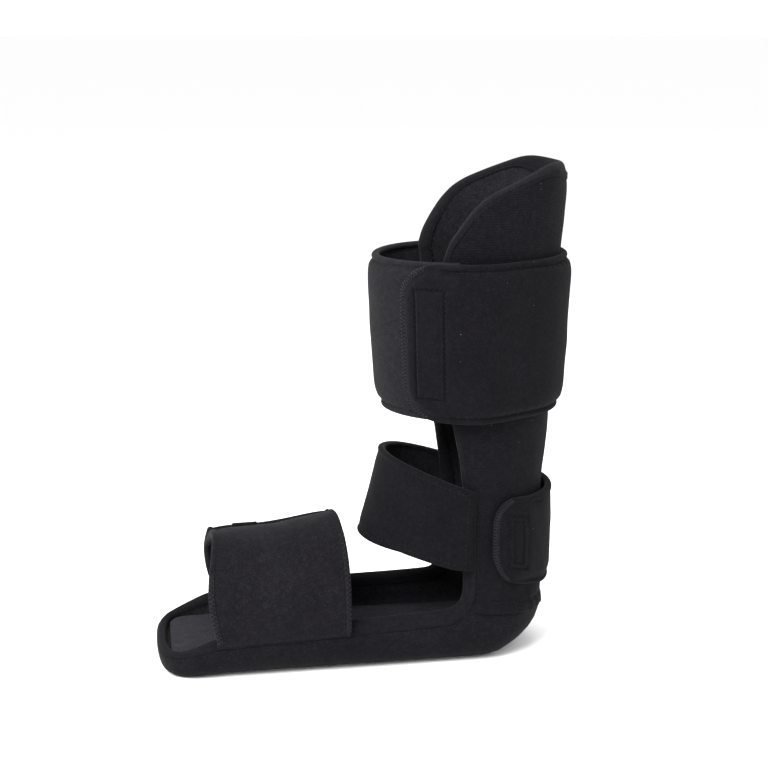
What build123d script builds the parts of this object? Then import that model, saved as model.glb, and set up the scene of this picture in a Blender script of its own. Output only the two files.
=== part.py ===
from build123d import *
import math
import os

os.makedirs("parts", exist_ok=True)

# Ankle foot orthosis: a padded L-shaped trough stiffened by one bent aluminium
# stay, closed round the limb by a calf wrap, an ankle strap and a forefoot wrap.
# Frame: +Z up, the toe points along -X, the heel is at +X, Y = 0 is the middle
# plane. The sole rests on Z = 0 and the leg axis stands over the origin.
# All lengths are in millimetres.

# ---- driving dimensions -------------------------------------------------------
COVER = 1.5            # outer cover fabric, laminated
WALL_FOAM = 9.0        # depth of the foam's inner face
WALL = 10.0            # depth of the lining's inner face
SOLE_HALF = 48.0       # half width of the foot tray at the ball of the foot
TOE_X = -204.8         # front of the toe
HEEL_R = 30.0          # rounding of the heel in side view
HEEL_CX = 17.6         # centre of that rounding
STAY_W = 32.0          # width of the aluminium stay
STAY_T = 2.5           # its thickness
STAY_TOE = -150.0      # front end of the stay under the foot
CALF_Z0, CALF_Z1 = 161.5, 261.5      # calf wrap, 100 mm tall
CALF_T = 5.8           # calf wrap thickness
CALF_RAMP = 7.6        # how far the outer flap stands off the shell
LINING = 1.0           # skin side lining of the wraps
GAP = 0.4              # free gap between layers that move apart
HOOK_T = 1.2           # hook fastener thickness
ANKLE_T = 4.2          # ankle strap thickness
ANKLE_HALF = 28.5      # half width of the ankle strap
ANKLE_SLOPE = -0.29    # fall of the ankle strap towards the heel
FORE_T = 5.0           # forefoot wrap thickness
FORE_X0, FORE_X1 = -168.0, -87.5     # forefoot wrap along the foot
FORE_Z0 = 20.0         # base of its arch, the sewn edges lie just above

# ---- small helpers ------------------------------------------------------------


def spline(points):
    return Edge.make_spline([Vector(*p) for p in points])


def line(a, b):
    return Edge.make_line(Vector(*a), Vector(*b))


def poly_face_xz(points, y=0.0):
    pts = [(x, y, z) for x, z in points]
    edges = [line(pts[i], pts[(i + 1) % len(pts)]) for i in range(len(pts))]
    return Face(Wire(edges))


def slab_xz(points, y0=-120.0, y1=120.0):
    """A prism with the given outline in side view."""
    return Solid.extrude(poly_face_xz(points, y0), Vector(0, y1 - y0, 0))


def box(x0, x1, y0, y1, z0, z1):
    return Solid.make_box(x1 - x0, y1 - y0, z1 - z0).moved(Location((x0, y0, z0)))


def save(shape, name):
    solids = shape.solids()
    out = solids[0] if len(solids) == 1 else Compound(children=list(solids))
    export_step(out, f"parts/{name}.step")
    print(name, len(solids), round(sum(s.volume for s in solids), 1))
    return out


def biggest(shape):
    return max(shape.solids(), key=lambda s: s.volume)


# ---- the leg part of the trough: elliptical in plan, wider up the calf ----------
# height: (rear X, half width, centre X)
LEG = [
    (-5.0, (47.6, 44.6, 2.0)),
    (27.0, (48.6, 45.0, 2.0)),
    (60.0, (47.6, 44.7, 2.0)),
    (112.0, (47.4, 44.6, 2.0)),
    (145.0, (50.9, 46.0, 0.5)),
    (161.5, (51.8, 46.5, -0.65)),
    (261.5, (56.5, 49.5, -1.15)),
    (325.0, (62.8, 53.4, -0.5)),
]


def leg_tube(t):
    wires = []
    for z, (back, b, c) in LEG:
        e = Ellipse(back - c - t, b - t).face().outer_wire()
        wires.append(e.moved(Location((c, 0, z))))
    return Solid.make_loft(wires, ruled=True)


def foot_outline(t):
    """Plan outline of the foot tray, inset by t."""
    k = t * 0.68
    side = [
        (-110.0, SOLE_HALF - t), (-150.0, SOLE_HALF - t), (-176.0, SOLE_HALF - 0.7 - t),
        (-188.5 + k * 0.6, SOLE_HALF - 3.8 - t), (-197.0 + k * 0.9, 37.8 - t * 0.8),
        (-201.4 + k, 29.0 - t * 0.5), (-204.0 + k, 15.8 - t * 0.2), (TOE_X + k, 0.0),
    ]
    pts = side + [(x, -y) for x, y in reversed(side[:-1])]
    a, b, c = 46.2 - t, 44.8 - t, 2.0
    toe = Edge.make_spline([Vector(x, y, 0) for x, y in pts],
                           tangents=[Vector(-1, 0, 0), Vector(1, 0, 0)])
    heel = Edge.make_spline(
        [Vector(c + a * math.cos(u), b * math.sin(u), 0)
         for u in [math.radians(d) for d in (-90, -70, -50, -30, -10, 10, 30, 50, 70, 90)]],
        tangents=[Vector(1, 0, 0), Vector(-1, 0, 0)])
    e1 = line((c, b, 0), (pts[0][0], pts[0][1], 0))
    e2 = line((pts[-1][0], pts[-1][1], 0), (c, -b, 0))
    return Face(Wire([e1, toe, e2, heel]))


def foot_block(t):
    return Solid.extrude(foot_outline(t), Vector(0, 0, 66)).moved(Location((0, 0, -5)))


def side_limit(t):
    """Everything above the bottom line and inside the heel rounding."""
    r = HEEL_R - t
    pts = [(-270.0, 340.0), (-270.0, t)]
    arc = [(HEEL_CX + r * math.sin(a), HEEL_R - r * math.cos(a))
           for a in [math.radians(d) for d in range(0, 91, 6)]]
    pts += [(HEEL_CX, t)] + arc[1:]
    pts += [(130.0, HEEL_R), (130.0, 340.0)]
    return slab_xz(pts)


# cut between the leg part and the foot part, just above the heel
def hem(x):
    return 34.5 - 0.13 * x


WING_X = -15.0         # in front of this the tray has its walls to itself
ABOVE = slab_xz([(WING_X, hem(WING_X)), (130, hem(130)), (130, 345), (-60, 345), (-60, 60), (WING_X, 60)])
BELOW = slab_xz([(-270, 60), (WING_X, 60), (WING_X, hem(WING_X)), (130, hem(130)), (130, -10), (-270, -10)])

# side view of the free rim, from the toe to the top of the back
RIM = [(-270, 16.0), (-197, 16.0), (-184, 20.6), (-170.9, 26.3), (-150, 28.9), (-120, 31.6),
       (-84.9, 34.2), (-33.8, 35.9), (-18.0, 36.9), (-14.0, 39.5), (-12.2, 45.0),
       (-12.9, 113.7), (-16.0, 137.0), (-21.2, 160.4), (-24.6, 215.0), (-26.9, 263.0),
       (-25.6, 271.0), (-20.5, 279.1), (-12.0, 290.0), (-3.3, 298.4), (5.6, 304.9),
       (18.2, 310.6), (32.0, 314.4), (43.0, 316.2), (50.0, 317.0), (56.0, 316.2),
       (59.5, 312.5), (62.0, 307.0), (75.0, 305.0), (130.0, 305.0)]
# side view of the seam under the binding
SEAM = [(-270, 13.6), (-197, 13.6), (-184, 16.8), (-168, 21.3), (-150, 22.7), (-120, 24.2),
        (-84.9, 25.4), (-33.8, 27.2), (-10.0, 29.4), (-5.4, 33.5), (-3.6, 40.0),
        (-3.9, 113.7), (-7.0, 139.0), (-12.0, 161.5), (-15.4, 216.0), (-17.4, 262.0),
        (-16.6, 267.0), (-12.6, 273.5), (-5.2, 283.0), (2.6, 290.4), (10.2, 296.0),
        (21.5, 301.4), (34.0, 305.2), (43.0, 306.8), (50.0, 306.8), (56.0, 304.5),
        (62.0, 301.0), (75.0, 297.0), (130.0, 297.0)]
UNDER_RIM = slab_xz([(x, z) for x, z in RIM] + [(130, -20), (-270, -20)])
UNDER_SEAM = slab_xz([(x, z) for x, z in SEAM] + [(130, -20), (-270, -20)])
RIM_STRIP = UNDER_RIM - UNDER_SEAM

leg = {t: leg_tube(t) for t in (0.0, COVER, WALL_FOAM, WALL)}
foot = {t: foot_block(t) & side_limit(t) for t in (0.0, COVER, WALL_FOAM, WALL)}

# ---- aluminium stay: a flat strip bent to an L, inside the foam -----------------


def stay():
    r_in = HEEL_R - 8.0
    zi, xb = 8.0, HEEL_CX
    inner, outer = [], []
    for d in range(0, 91, 6):
        a = math.radians(d)
        inner.append((xb + r_in * math.sin(a), HEEL_R - r_in * math.cos(a)))
        outer.append((xb + (r_in + STAY_T) * math.sin(a), HEEL_R - (r_in + STAY_T) * math.cos(a)))
    up = [(115.0, 39.6), (145.0, 42.9), (161.5, 43.9), (261.5, 48.5), (293.0, 51.5)]
    inner = [(STAY_TOE, zi)] + inner + [(x, z) for z, x in up]
    outer = [(STAY_TOE, zi - STAY_T)] + outer + [(x + STAY_T, z) for z, x in up]
    strip = slab_xz(inner + outer[::-1], -STAY_W / 2, STAY_W / 2)
    # rounded free ends
    toe_cut = box(STAY_TOE - 1, STAY_TOE + 12, -30, 30, -5, 20) - Solid.make_cylinder(
        STAY_W / 2, 30).moved(Location((STAY_TOE + STAY_W / 2, 0, -6)))
    return biggest(strip - (toe_cut & box(STAY_TOE - 1, STAY_TOE + STAY_W / 2 - 0.01, -30, 30, -5, 20)))


STAY = stay()

# ---- layers of the trough -------------------------------------------------------


def layer(a, b, region, keep):
    outer = leg[a] & ABOVE if region == "leg" else foot[a] & BELOW
    inner = leg[b] if region == "leg" else foot[b]
    return (outer - inner) & keep


leg_cover = layer(0.0, COVER, "leg", UNDER_SEAM)
foot_cover = layer(0.0, COVER, "foot", UNDER_SEAM)
leg_foam = layer(COVER, WALL_FOAM, "leg", UNDER_SEAM) - STAY
foot_foam = layer(COVER, WALL_FOAM, "foot", UNDER_SEAM) - STAY
leg_lining = layer(WALL_FOAM, WALL, "leg", UNDER_SEAM)
foot_lining = layer(WALL_FOAM, WALL, "foot", UNDER_SEAM)
edge_band = (((leg[0.0] & ABOVE) - leg[WALL]) & RIM_STRIP) + (((foot[0.0] & BELOW) - foot[WALL]) & RIM_STRIP)

INSOLE_Z0, INSOLE_T = WALL, 4.0
insole = Solid.extrude(foot_outline(WALL + 1.2), Vector(0, 0, INSOLE_T)).moved(Location((0, 0, INSOLE_Z0)))
insole = biggest(insole & box(-196.4, 60.0, -60, 60, 0, 60)
                 & side_limit(WALL + 0.4).moved(Location((-0.2, 0, -0.4))))

save(STAY, "support_splint")
save(leg_cover, "leg_cover")
save(foot_cover, "foot_cover")
save(leg_foam, "leg_foam")
save(foot_foam, "foot_foam")
save(leg_lining, "leg_lining")
save(foot_lining, "foot_lining")
save(edge_band, "edge_band")
save(insole, "insole")

# ---- bands that run round the limb ---------------------------------------------


def ellipse_point(c, a, b, deg, off):
    """Point on an ellipse, or on one with a longer front half when a is a
    pair (front, rear), moved outwards by off."""
    u = math.radians(deg)
    if isinstance(a, tuple):
        a = a[1] if math.cos(u) > 0 else a[0]
    x, y = c + a * math.cos(u), b * math.sin(u)
    nx, ny = b * math.cos(u), a * math.sin(u)
    n = math.hypot(nx, ny)
    return x + nx / n * off, y + ny / n * off


def band(stations, d0, d1, inner, outer, slope=0.0, step=9.0):
    """Solid between two stations (z, c, a, b), from angle d0 to d1, with the
    inner and outer offsets given as functions of the angle."""
    n = max(4, int(abs(d1 - d0) / step) + 1)
    ang = [d0 + (d1 - d0) * i / n for i in range(n + 1)]
    wires = []
    for z, c, a, b in stations:
        po = [ellipse_point(c, a, b, d, outer(d)) for d in ang]
        pi = [ellipse_point(c, a, b, d, inner(d)) for d in ang]
        po = [(x, y, z + slope * x) for x, y in po]
        pi = [(x, y, z + slope * x) for x, y in pi]
        wires.append(Wire([spline(po), line(po[-1], pi[-1]), spline(pi[::-1]), line(pi[0], po[0])]))
    return Solid.make_loft(wires, ruled=True)


def const(v):
    return lambda d: v


def smooth(k):
    k = min(1.0, max(0.0, k))
    return k * k * (3 - 2 * k)


# calf wrap: inner face 0.5 mm outside the shell
CALF = [(CALF_Z0, -0.65, 53.0, 47.0), (CALF_Z1, -1.15, 58.2, 50.0)]
D_NEAR, D_FAR = -60.0, 100.0          # seams of the sewn back section
D_INNER_END, D_OUTER_END = -106.0, -137.0
SEAM_GAP = 0.35                        # degrees left free at each seam


def ramp(d):
    """Stand-off of the outer flap: it climbs over the inner flap's end."""
    return CALF_RAMP * smooth((D_NEAR - 4.0 - d) / 34.0)


calf_back = band(CALF, D_NEAR + SEAM_GAP, D_FAR - SEAM_GAP, const(LINING), const(CALF_T))
calf_back_lining = band(CALF, D_NEAR + SEAM_GAP, D_FAR - SEAM_GAP, const(0.0), const(LINING))
calf_inner = band(CALF, D_FAR, 360.0 + D_INNER_END, const(LINING), const(CALF_T))
calf_inner_lining = band(CALF, D_FAR, 360.0 + D_INNER_END, const(0.0), const(LINING))

# outline of the outer flap in side view: rounded free corners
def rounded_end(x_end, x_back, z0, z1, rx, rz, n=8):
    pts = [(x_back, z1)]
    for i in range(n + 1):
        a = math.pi / 2 * i / n
        pts.append((x_end + rx - rx * math.sin(a), z1 - rz + rz * math.cos(a)))
    for i in range(n + 1):
        a = math.pi / 2 * i / n
        pts.append((x_end + rx - rx * math.cos(a), z0 + rz - rz * math.sin(a)))
    pts.append((x_back, z0))
    return pts


FLAP_X = -52.0
EDGING = 3.5           # width of the overlocked edge
flap_shape = slab_xz(rounded_end(FLAP_X, 60, CALF_Z0, CALF_Z1, 23, 22), -100, 0)
flap_core = slab_xz(rounded_end(FLAP_X + EDGING, 60, CALF_Z0 + EDGING, CALF_Z1 - EDGING,
                                23 - EDGING, 22 - EDGING), -100, 0) + box(
    FLAP_X + 23, 60, -100, 0, CALF_Z0 - 5, CALF_Z1 + 5)
calf_outer_raw = band(CALF, D_NEAR, D_OUTER_END, lambda d: ramp(d) + LINING,
                      lambda d: ramp(d) + CALF_T)
calf_outer = calf_outer_raw & flap_core
calf_outer_edging = (band(CALF, D_NEAR, D_OUTER_END, ramp, lambda d: ramp(d) + CALF_T)
                     & flap_shape) - flap_core
calf_outer_lining = band(CALF, D_NEAR, D_OUTER_END, ramp, lambda d: ramp(d) + LINING) & flap_core
calf_hook = band(CALF, D_NEAR, D_OUTER_END, lambda d: ramp(d) - HOOK_T, ramp) & box(
    -44.7, -27.5, -100, 0, 178.0, 246.0)
save(calf_back, "calf_wrap_back")
save(calf_back_lining, "calf_wrap_back_lining")
save(calf_inner, "calf_inner_flap")
save(calf_inner_lining, "calf_inner_flap_lining")
save(calf_outer, "calf_outer_flap")
save(calf_outer_edging, "calf_outer_flap_edging")
save(calf_outer_lining, "calf_outer_flap_lining")
save(calf_hook, "calf_hook_patch")

# ---- ankle strap: one sloping loop sewn at the near side ------------------------
# stations are given at X = 0: (z, centre, half length, half width)
ANKLE = [(89.0 - ANKLE_HALF, 2.0, (71.4, 47.6), 47.2), (89.0 + ANKLE_HALF, 2.0, (56.6, 47.2), 47.2)]
D_SEW = -97.0          # vertical seam on the near side
D_WIDE = 90.0          # widest point on the far side, where the strap folds back
D_TAB = -88.0          # the tab is cut from a band that ends here


ankle_anchor = band(ANKLE, D_SEW + 3.2, D_SEW + 0.35, const(-3.6), const(ANKLE_T), ANKLE_SLOPE, 1.0)
ankle_anchor = biggest(ankle_anchor - leg[0.0])
ankle_front = band(ANKLE, D_WIDE + 0.35, 360 + D_SEW, const(LINING), const(ANKLE_T), ANKLE_SLOPE)
ankle_front_lining = band(ANKLE, D_WIDE + 0.35, 360 + D_SEW, const(0.0), const(LINING), ANKLE_SLOPE)
tab_raw = band(ANKLE, D_WIDE, D_TAB, const(LINING), const(ANKLE_T), ANKLE_SLOPE)
tab_lining_raw = band(ANKLE, D_WIDE, D_TAB, const(0.0), const(LINING), ANKLE_SLOPE)


def tab_outline(x_end, shrink, rx, rz):
    pts = rounded_end(x_end, 70, 89.0 - ANKLE_HALF + shrink, 89.0 + ANKLE_HALF - shrink, rx, rz)
    return [(x, z + ANKLE_SLOPE * x) for x, z in pts]


TAB_X = 6.3            # rounded tip of the tab
tab_shape = slab_xz(tab_outline(TAB_X, 0, 20, 24), -100, 0) + box(-80, 80, 0, 100, -10, 200)
tab_core = slab_xz(tab_outline(TAB_X + 3, 3, 17, 21), -100, 0) + box(
    -80, 80, 0, 100, -10, 200) + box(TAB_X + 20, 80, -100, 0.01, -10, 200)
ankle_tab = tab_raw & tab_core & tab_shape
ankle_tab_lining = tab_lining_raw & tab_core & tab_shape
ankle_tab_edging = (band(ANKLE, D_WIDE, D_TAB, const(0.0), const(ANKLE_T), ANKLE_SLOPE) & tab_shape) - tab_core
hook_zone = [(9.0, 74.5), (30.0, 74.5), (30.0, 107.0), (9.0, 107.0)]
ankle_hook = band(ANKLE, D_WIDE, D_TAB, const(-HOOK_T), const(0.0), ANKLE_SLOPE) & slab_xz(
    [(x, z + ANKLE_SLOPE * x) for x, z in hook_zone], -100, 0)
save(ankle_anchor, "ankle_strap_anchor")
save(ankle_front, "ankle_front_strap")
save(ankle_front_lining, "ankle_front_lining")
save(ankle_tab, "ankle_rear_tab")
save(ankle_tab_lining, "ankle_rear_tab_lining")
save(ankle_tab_edging, "ankle_rear_tab_edging")
save(ankle_hook, "ankle_hook_patch")

# ---- forefoot wrap: two panels sewn along the sides of the tray ------------------
# arch in the YZ plane: half width, crest height over the sewn edge


def arch_raw(w, h, u):
    c, s = math.cos(u), math.sin(u)
    y = w * math.copysign(abs(c) ** 0.62, c)
    fall = 0.5 * (y + 4.0 + math.hypot(y + 4.0, 14.0)) - 6.0
    return y, h * abs(s) ** 0.92 - 0.30 * fall * abs(s) ** 1.5


def arch_point(w, h, deg, off):
    u = math.radians(deg)
    y, z = arch_raw(w, h, u)
    e = 1e-3
    y2, z2 = arch_raw(w, h, u + e)
    y1, z1 = arch_raw(w, h, u - e)
    ty, tz = y2 - y1, z2 - z1
    n = math.hypot(ty, tz)
    return y + tz / n * off, FORE_Z0 + z - ty / n * off


def arch_band(d0, d1, inner, outer, x0=FORE_X0, x1=FORE_X1, step=9.0):
    n = max(3, int(abs(d1 - d0) / step) + 1)
    ang = [d0 + (d1 - d0) * i / n for i in range(n + 1)]
    wires = []
    for x in (x0, x1):
        k = (x + 168.0) / 80.5
        w, h = 49.2, 59.5 + 10.0 * k
        po = [(x,) + arch_point(w, h, d, outer(d)) for d in ang]
        pi = [(x,) + arch_point(w, h, d, inner(d)) for d in ang]
        wires.append(Wire([spline(po), line(po[-1], pi[-1]), spline(pi[::-1]), line(pi[0], po[0])]))
    return Solid.make_loft(wires, ruled=True)


D_NEAR_FOOT, D_NEAR_END = 176.5, 52.0
D_FAR_FOOT, D_FAR_END = 3.5, 62.0


def fore_ramp(d):
    return (FORE_T + GAP + HOOK_T) * smooth((d - 14.0) / 26.0)


fore_near = arch_band(D_NEAR_FOOT, D_NEAR_END, const(LINING), const(FORE_T))
fore_near_lining = arch_band(D_NEAR_FOOT, D_NEAR_END, const(0.0), const(LINING))
fore_far = arch_band(D_FAR_FOOT, D_FAR_END, lambda d: fore_ramp(d) + LINING, lambda d: fore_ramp(d) + FORE_T)
fore_far_lining = arch_band(D_FAR_FOOT, D_FAR_END, fore_ramp, lambda d: fore_ramp(d) + LINING)
fore_hook = arch_band(D_FAR_FOOT, D_FAR_END, lambda d: fore_ramp(d) - HOOK_T, fore_ramp) & box(
    -160.0, -95.0, 29.0, 41.0, 40.0, 120.0)
fore_tab = arch_band(62.0, 80.0, lambda d: FORE_T + GAP, lambda d: FORE_T + GAP + 2.2) & box(
    -154.0, -137.0, -5, 60, 40, 120)
save(fore_near, "forefoot_near_panel")
save(fore_near_lining, "forefoot_near_lining")
save(fore_far, "forefoot_far_panel")
save(fore_far_lining, "forefoot_far_lining")
save(fore_hook, "forefoot_hook_patch")
save(fore_tab, "forefoot_pull_tab")
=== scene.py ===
import math
import bpy
import numpy as np
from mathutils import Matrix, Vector


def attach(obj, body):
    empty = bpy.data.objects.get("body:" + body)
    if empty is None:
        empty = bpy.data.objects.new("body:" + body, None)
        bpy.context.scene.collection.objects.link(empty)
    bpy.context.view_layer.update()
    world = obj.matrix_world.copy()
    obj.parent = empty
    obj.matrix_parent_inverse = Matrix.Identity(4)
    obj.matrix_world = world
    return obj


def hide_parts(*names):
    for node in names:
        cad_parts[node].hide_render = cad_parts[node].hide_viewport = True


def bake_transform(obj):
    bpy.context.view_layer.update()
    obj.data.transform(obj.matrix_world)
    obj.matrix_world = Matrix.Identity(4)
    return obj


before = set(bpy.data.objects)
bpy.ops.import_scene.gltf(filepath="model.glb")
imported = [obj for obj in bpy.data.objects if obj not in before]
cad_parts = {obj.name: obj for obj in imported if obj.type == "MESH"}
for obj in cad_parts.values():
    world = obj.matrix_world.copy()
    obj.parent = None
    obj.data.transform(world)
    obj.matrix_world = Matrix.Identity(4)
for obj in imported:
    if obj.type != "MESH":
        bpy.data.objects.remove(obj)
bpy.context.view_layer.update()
rad = math.radians


# ------------------------------------------------------------------ mesh helpers
def smooth(k):
    k = np.clip(k, 0.0, 1.0)
    return k * k * (3 - 2 * k)


def wob(p, size, seed=0, octaves=2):
    """Smooth pseudo-random field in -1..1 over points in mm, with features of about that size."""
    rng = np.random.RandomState(seed)
    out = np.zeros(p.shape[:-1])
    amp, total = 1.0, 0.0
    for _ in range(octaves):
        for _k in range(4):
            d = rng.normal(size=3)
            d /= np.linalg.norm(d)
            out += amp * np.sin(p @ d * (2 * math.pi / (size * rng.uniform(1.6, 2.6))) + rng.uniform(0, 6.28))
        total += amp * 4
        amp *= 0.5
        size *= 0.5
    return out / total * 1.8


def mesh_from(name, verts_mm, faces, mats, index=None, shade=True):
    me = bpy.data.meshes.new(name)
    v = np.asarray(verts_mm, float) * 0.001
    me.vertices.add(len(v))
    me.vertices.foreach_set("co", v.astype(np.float32).ravel())
    f = np.asarray(faces, np.int32)
    n = f.shape[1]
    me.loops.add(f.size)
    me.loops.foreach_set("vertex_index", f.ravel())
    me.polygons.add(len(f))
    me.polygons.foreach_set("loop_start", np.arange(0, f.size, n, dtype=np.int32))
    me.polygons.foreach_set("loop_total", np.full(len(f), n, np.int32))
    for m in mats:
        me.materials.append(m)
    if index is not None:
        me.polygons.foreach_set("material_index", np.asarray(index, np.int32))
    me.update(calc_edges=True)
    me.validate()
    if shade:
        me.polygons.foreach_set("use_smooth", np.ones(len(me.polygons), bool))
    ob = bpy.data.objects.new(name, me)
    bpy.context.scene.collection.objects.link(ob)
    return ob


def clean(ob, dist=2e-6):
    """Weld doubles, drop degenerate faces, make normals consistent."""
    import bmesh
    bm = bmesh.new()
    bm.from_mesh(ob.data)
    bmesh.ops.remove_doubles(bm, verts=bm.verts, dist=dist)
    bmesh.ops.dissolve_degenerate(bm, edges=bm.edges, dist=dist * 0.5)
    bmesh.ops.recalc_face_normals(bm, faces=bm.faces)
    for f in bm.faces:
        f.smooth = True
    bm.to_mesh(ob.data)
    bm.free()
    return ob


def quads(nu, nv, wrap_u=False, base=0, flip=False):
    uu = np.arange(nu if wrap_u else nu - 1)
    vv = np.arange(nv - 1)
    U, V = np.meshgrid(uu, vv, indexing="ij")
    a = base + U * nv + V
    b = base + ((U + 1) % nu) * nv + V
    q = np.stack([a, b, b + 1, a + 1], -1).reshape(-1, 4)
    return q[:, ::-1] if flip else q


def slab(name, out, inn, mats, zones=None):
    """Closed mesh from an outer and an inner grid of points whose borders coincide."""
    nu, nv = out.shape[:2]
    v = np.concatenate([out.reshape(-1, 3), inn.reshape(-1, 3)])
    f = np.concatenate([quads(nu, nv), quads(nu, nv, base=nu * nv, flip=True)])
    n = (nu - 1) * (nv - 1)
    idx = np.zeros(2 * n, int)
    idx[n:] = 1 if len(mats) > 1 else 0
    if zones is not None:
        z = zones[:-1, :-1].reshape(-1)
        idx[:n] = np.where(z > 0, z, idx[:n])
    return clean(mesh_from(name, v, f, mats, idx))


def normals(P, outward):
    """Unit normals of a grid of points, on the side that outward points to."""
    du = np.gradient(P, axis=0)
    dv = np.gradient(P, axis=1)
    n = np.cross(du, dv)
    n /= np.maximum(np.linalg.norm(n, axis=-1, keepdims=True), 1e-9)
    s = np.sign((n * outward).sum(-1, keepdims=True))
    s[s == 0] = 1
    return n * s


def edge_samples(length, fine, coarse):
    """Distances along a strip: close together at both edges, wider in the middle."""
    fine = np.asarray(fine, float)
    m = np.arange(fine[-1], length - fine[-1], coarse)[1:]
    if len(m):
        m = m + ((length - fine[-1]) - (m[-1] + coarse)) * (m - fine[-1]) / max(length - 2 * fine[-1], 1e-6) * 0.0
    return np.unique(np.concatenate([fine, m, length - fine[::-1]]).round(5))


def tube_bits(name, paths, radii, mat, sides=6):
    """One mesh of many short closed threads, each following a few points."""
    verts, faces, base = [], [], 0
    ring = np.array([(math.cos(2 * math.pi * k / sides), math.sin(2 * math.pi * k / sides)) for k in range(sides)])
    for (pts, up), r in zip(paths, radii):
        pts = np.asarray(pts, float)
        t = np.gradient(pts, axis=0)
        t /= np.maximum(np.linalg.norm(t, axis=1, keepdims=True), 1e-9)
        side = np.cross(t, up)
        side /= np.maximum(np.linalg.norm(side, axis=1, keepdims=True), 1e-9)
        upv = np.cross(side, t)
        n = len(pts)
        taper = np.ones(n)
        taper[0] = taper[-1] = 0.45
        for i in range(n):
            for c, s in ring:
                verts.append(pts[i] + (side[i] * c + upv[i] * s * 0.8) * r * taper[i])
        for i in range(n - 1):
            for k in range(sides):
                k2 = (k + 1) % sides
                faces.append((base + i * sides + k, base + i * sides + k2, base + (i + 1) * sides + k2, base + (i + 1) * sides + k))
        # caps as quads
        for i in (0, n - 1):
            b = base + i * sides
            faces.append((b, b + 1, b + 2, b + 3))
            faces.append((b, b + 3, b + 4, b + 5))
        base += n * sides
    ob = mesh_from(name, np.array(verts), faces, [mat])
    return clean(ob, 1e-7)


def resample(line, step):
    line = np.asarray(line, float)
    seg = np.linalg.norm(np.diff(line, axis=0), axis=1)
    s = np.concatenate([[0], np.cumsum(seg)])
    n = max(2, int(round(s[-1] / step)) + 1)
    t = np.linspace(0, s[-1], n)
    return np.stack([np.interp(t, s, line[:, k]) for k in range(line.shape[1])], -1), t


def stitches(name, rows, mat, pitch=3.1, length=2.3, r=0.26):
    """Rows of lockstitch: each row is a list of (point, normal) pairs along the seam, in mm."""
    paths, radii = [], []
    for pts, nrm in rows:
        both = np.concatenate([np.asarray(pts), np.asarray(nrm)], axis=1)
        seg = np.concatenate([[0], np.cumsum(np.linalg.norm(np.diff(both[:, :3], axis=0), axis=1))])
        total = seg[-1]
        k = max(1, int(total / pitch))
        for i in range(k):
            t = (i + 0.5) * total / k + length * np.array([-0.5, -0.22, 0.22, 0.5])
            q = np.stack([np.interp(t, seg, both[:, j]) for j in range(6)], -1)
            n = q[:, 3:] / np.maximum(np.linalg.norm(q[:, 3:], axis=1, keepdims=True), 1e-9)
            lift = np.array([-0.18, 0.12, 0.12, -0.18])[:, None]
            paths.append((q[:, :3] + n * lift, n))
            radii.append(r)
    return tube_bits(name, paths, radii, mat)


# ------------------------------------------------------------------ materials
def lin(r, g, b):
    f = lambda c: c / 12.92 if c <= 0.04045 else ((c + 0.055) / 1.055) ** 2.4
    return (f(r / 255), f(g / 255), f(b / 255), 1.0)


def new_mat(name, rough, sheen, sheen_rough, spec=0.35):
    m = bpy.data.materials.new(name)
    m.use_nodes = True
    nt = m.node_tree
    b = nt.nodes["Principled BSDF"]
    b.inputs["Roughness"].default_value = rough
    b.inputs["Sheen Weight"].default_value = sheen
    b.inputs["Sheen Roughness"].default_value = sheen_rough
    b.inputs["Specular IOR Level"].default_value = spec
    return m, nt, b


def noise(nt, coord, scale, detail=2.0, rough=0.55, stretch=None):
    if stretch is not None:
        mp = nt.nodes.new("ShaderNodeMapping")
        mp.inputs["Scale"].default_value = stretch
        nt.links.new(coord, mp.inputs["Vector"])
        coord = mp.outputs["Vector"]
    n = nt.nodes.new("ShaderNodeTexNoise")
    n.inputs["Scale"].default_value = scale
    n.inputs["Detail"].default_value = detail
    n.inputs["Roughness"].default_value = rough
    nt.links.new(coord, n.inputs["Vector"])
    return n.outputs["Fac"]


def mathn(nt, op, a, b=None, clamp=False):
    n = nt.nodes.new("ShaderNodeMath")
    n.operation = op
    n.use_clamp = clamp
    for i, x in enumerate((a, b)):
        if x is None:
            continue
        if isinstance(x, (int, float)):
            n.inputs[i].default_value = x
        else:
            nt.links.new(x, n.inputs[i])
    return n.outputs[0]


def ramp(nt, fac, stops):
    n = nt.nodes.new("ShaderNodeValToRGB")
    el = n.color_ramp.elements
    while len(el) < len(stops):
        el.new(0.5)
    for e, (p, c) in zip(el, stops):
        e.position = p
        e.color = c
    nt.links.new(fac, n.inputs["Fac"])
    return n.outputs["Color"]


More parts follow.
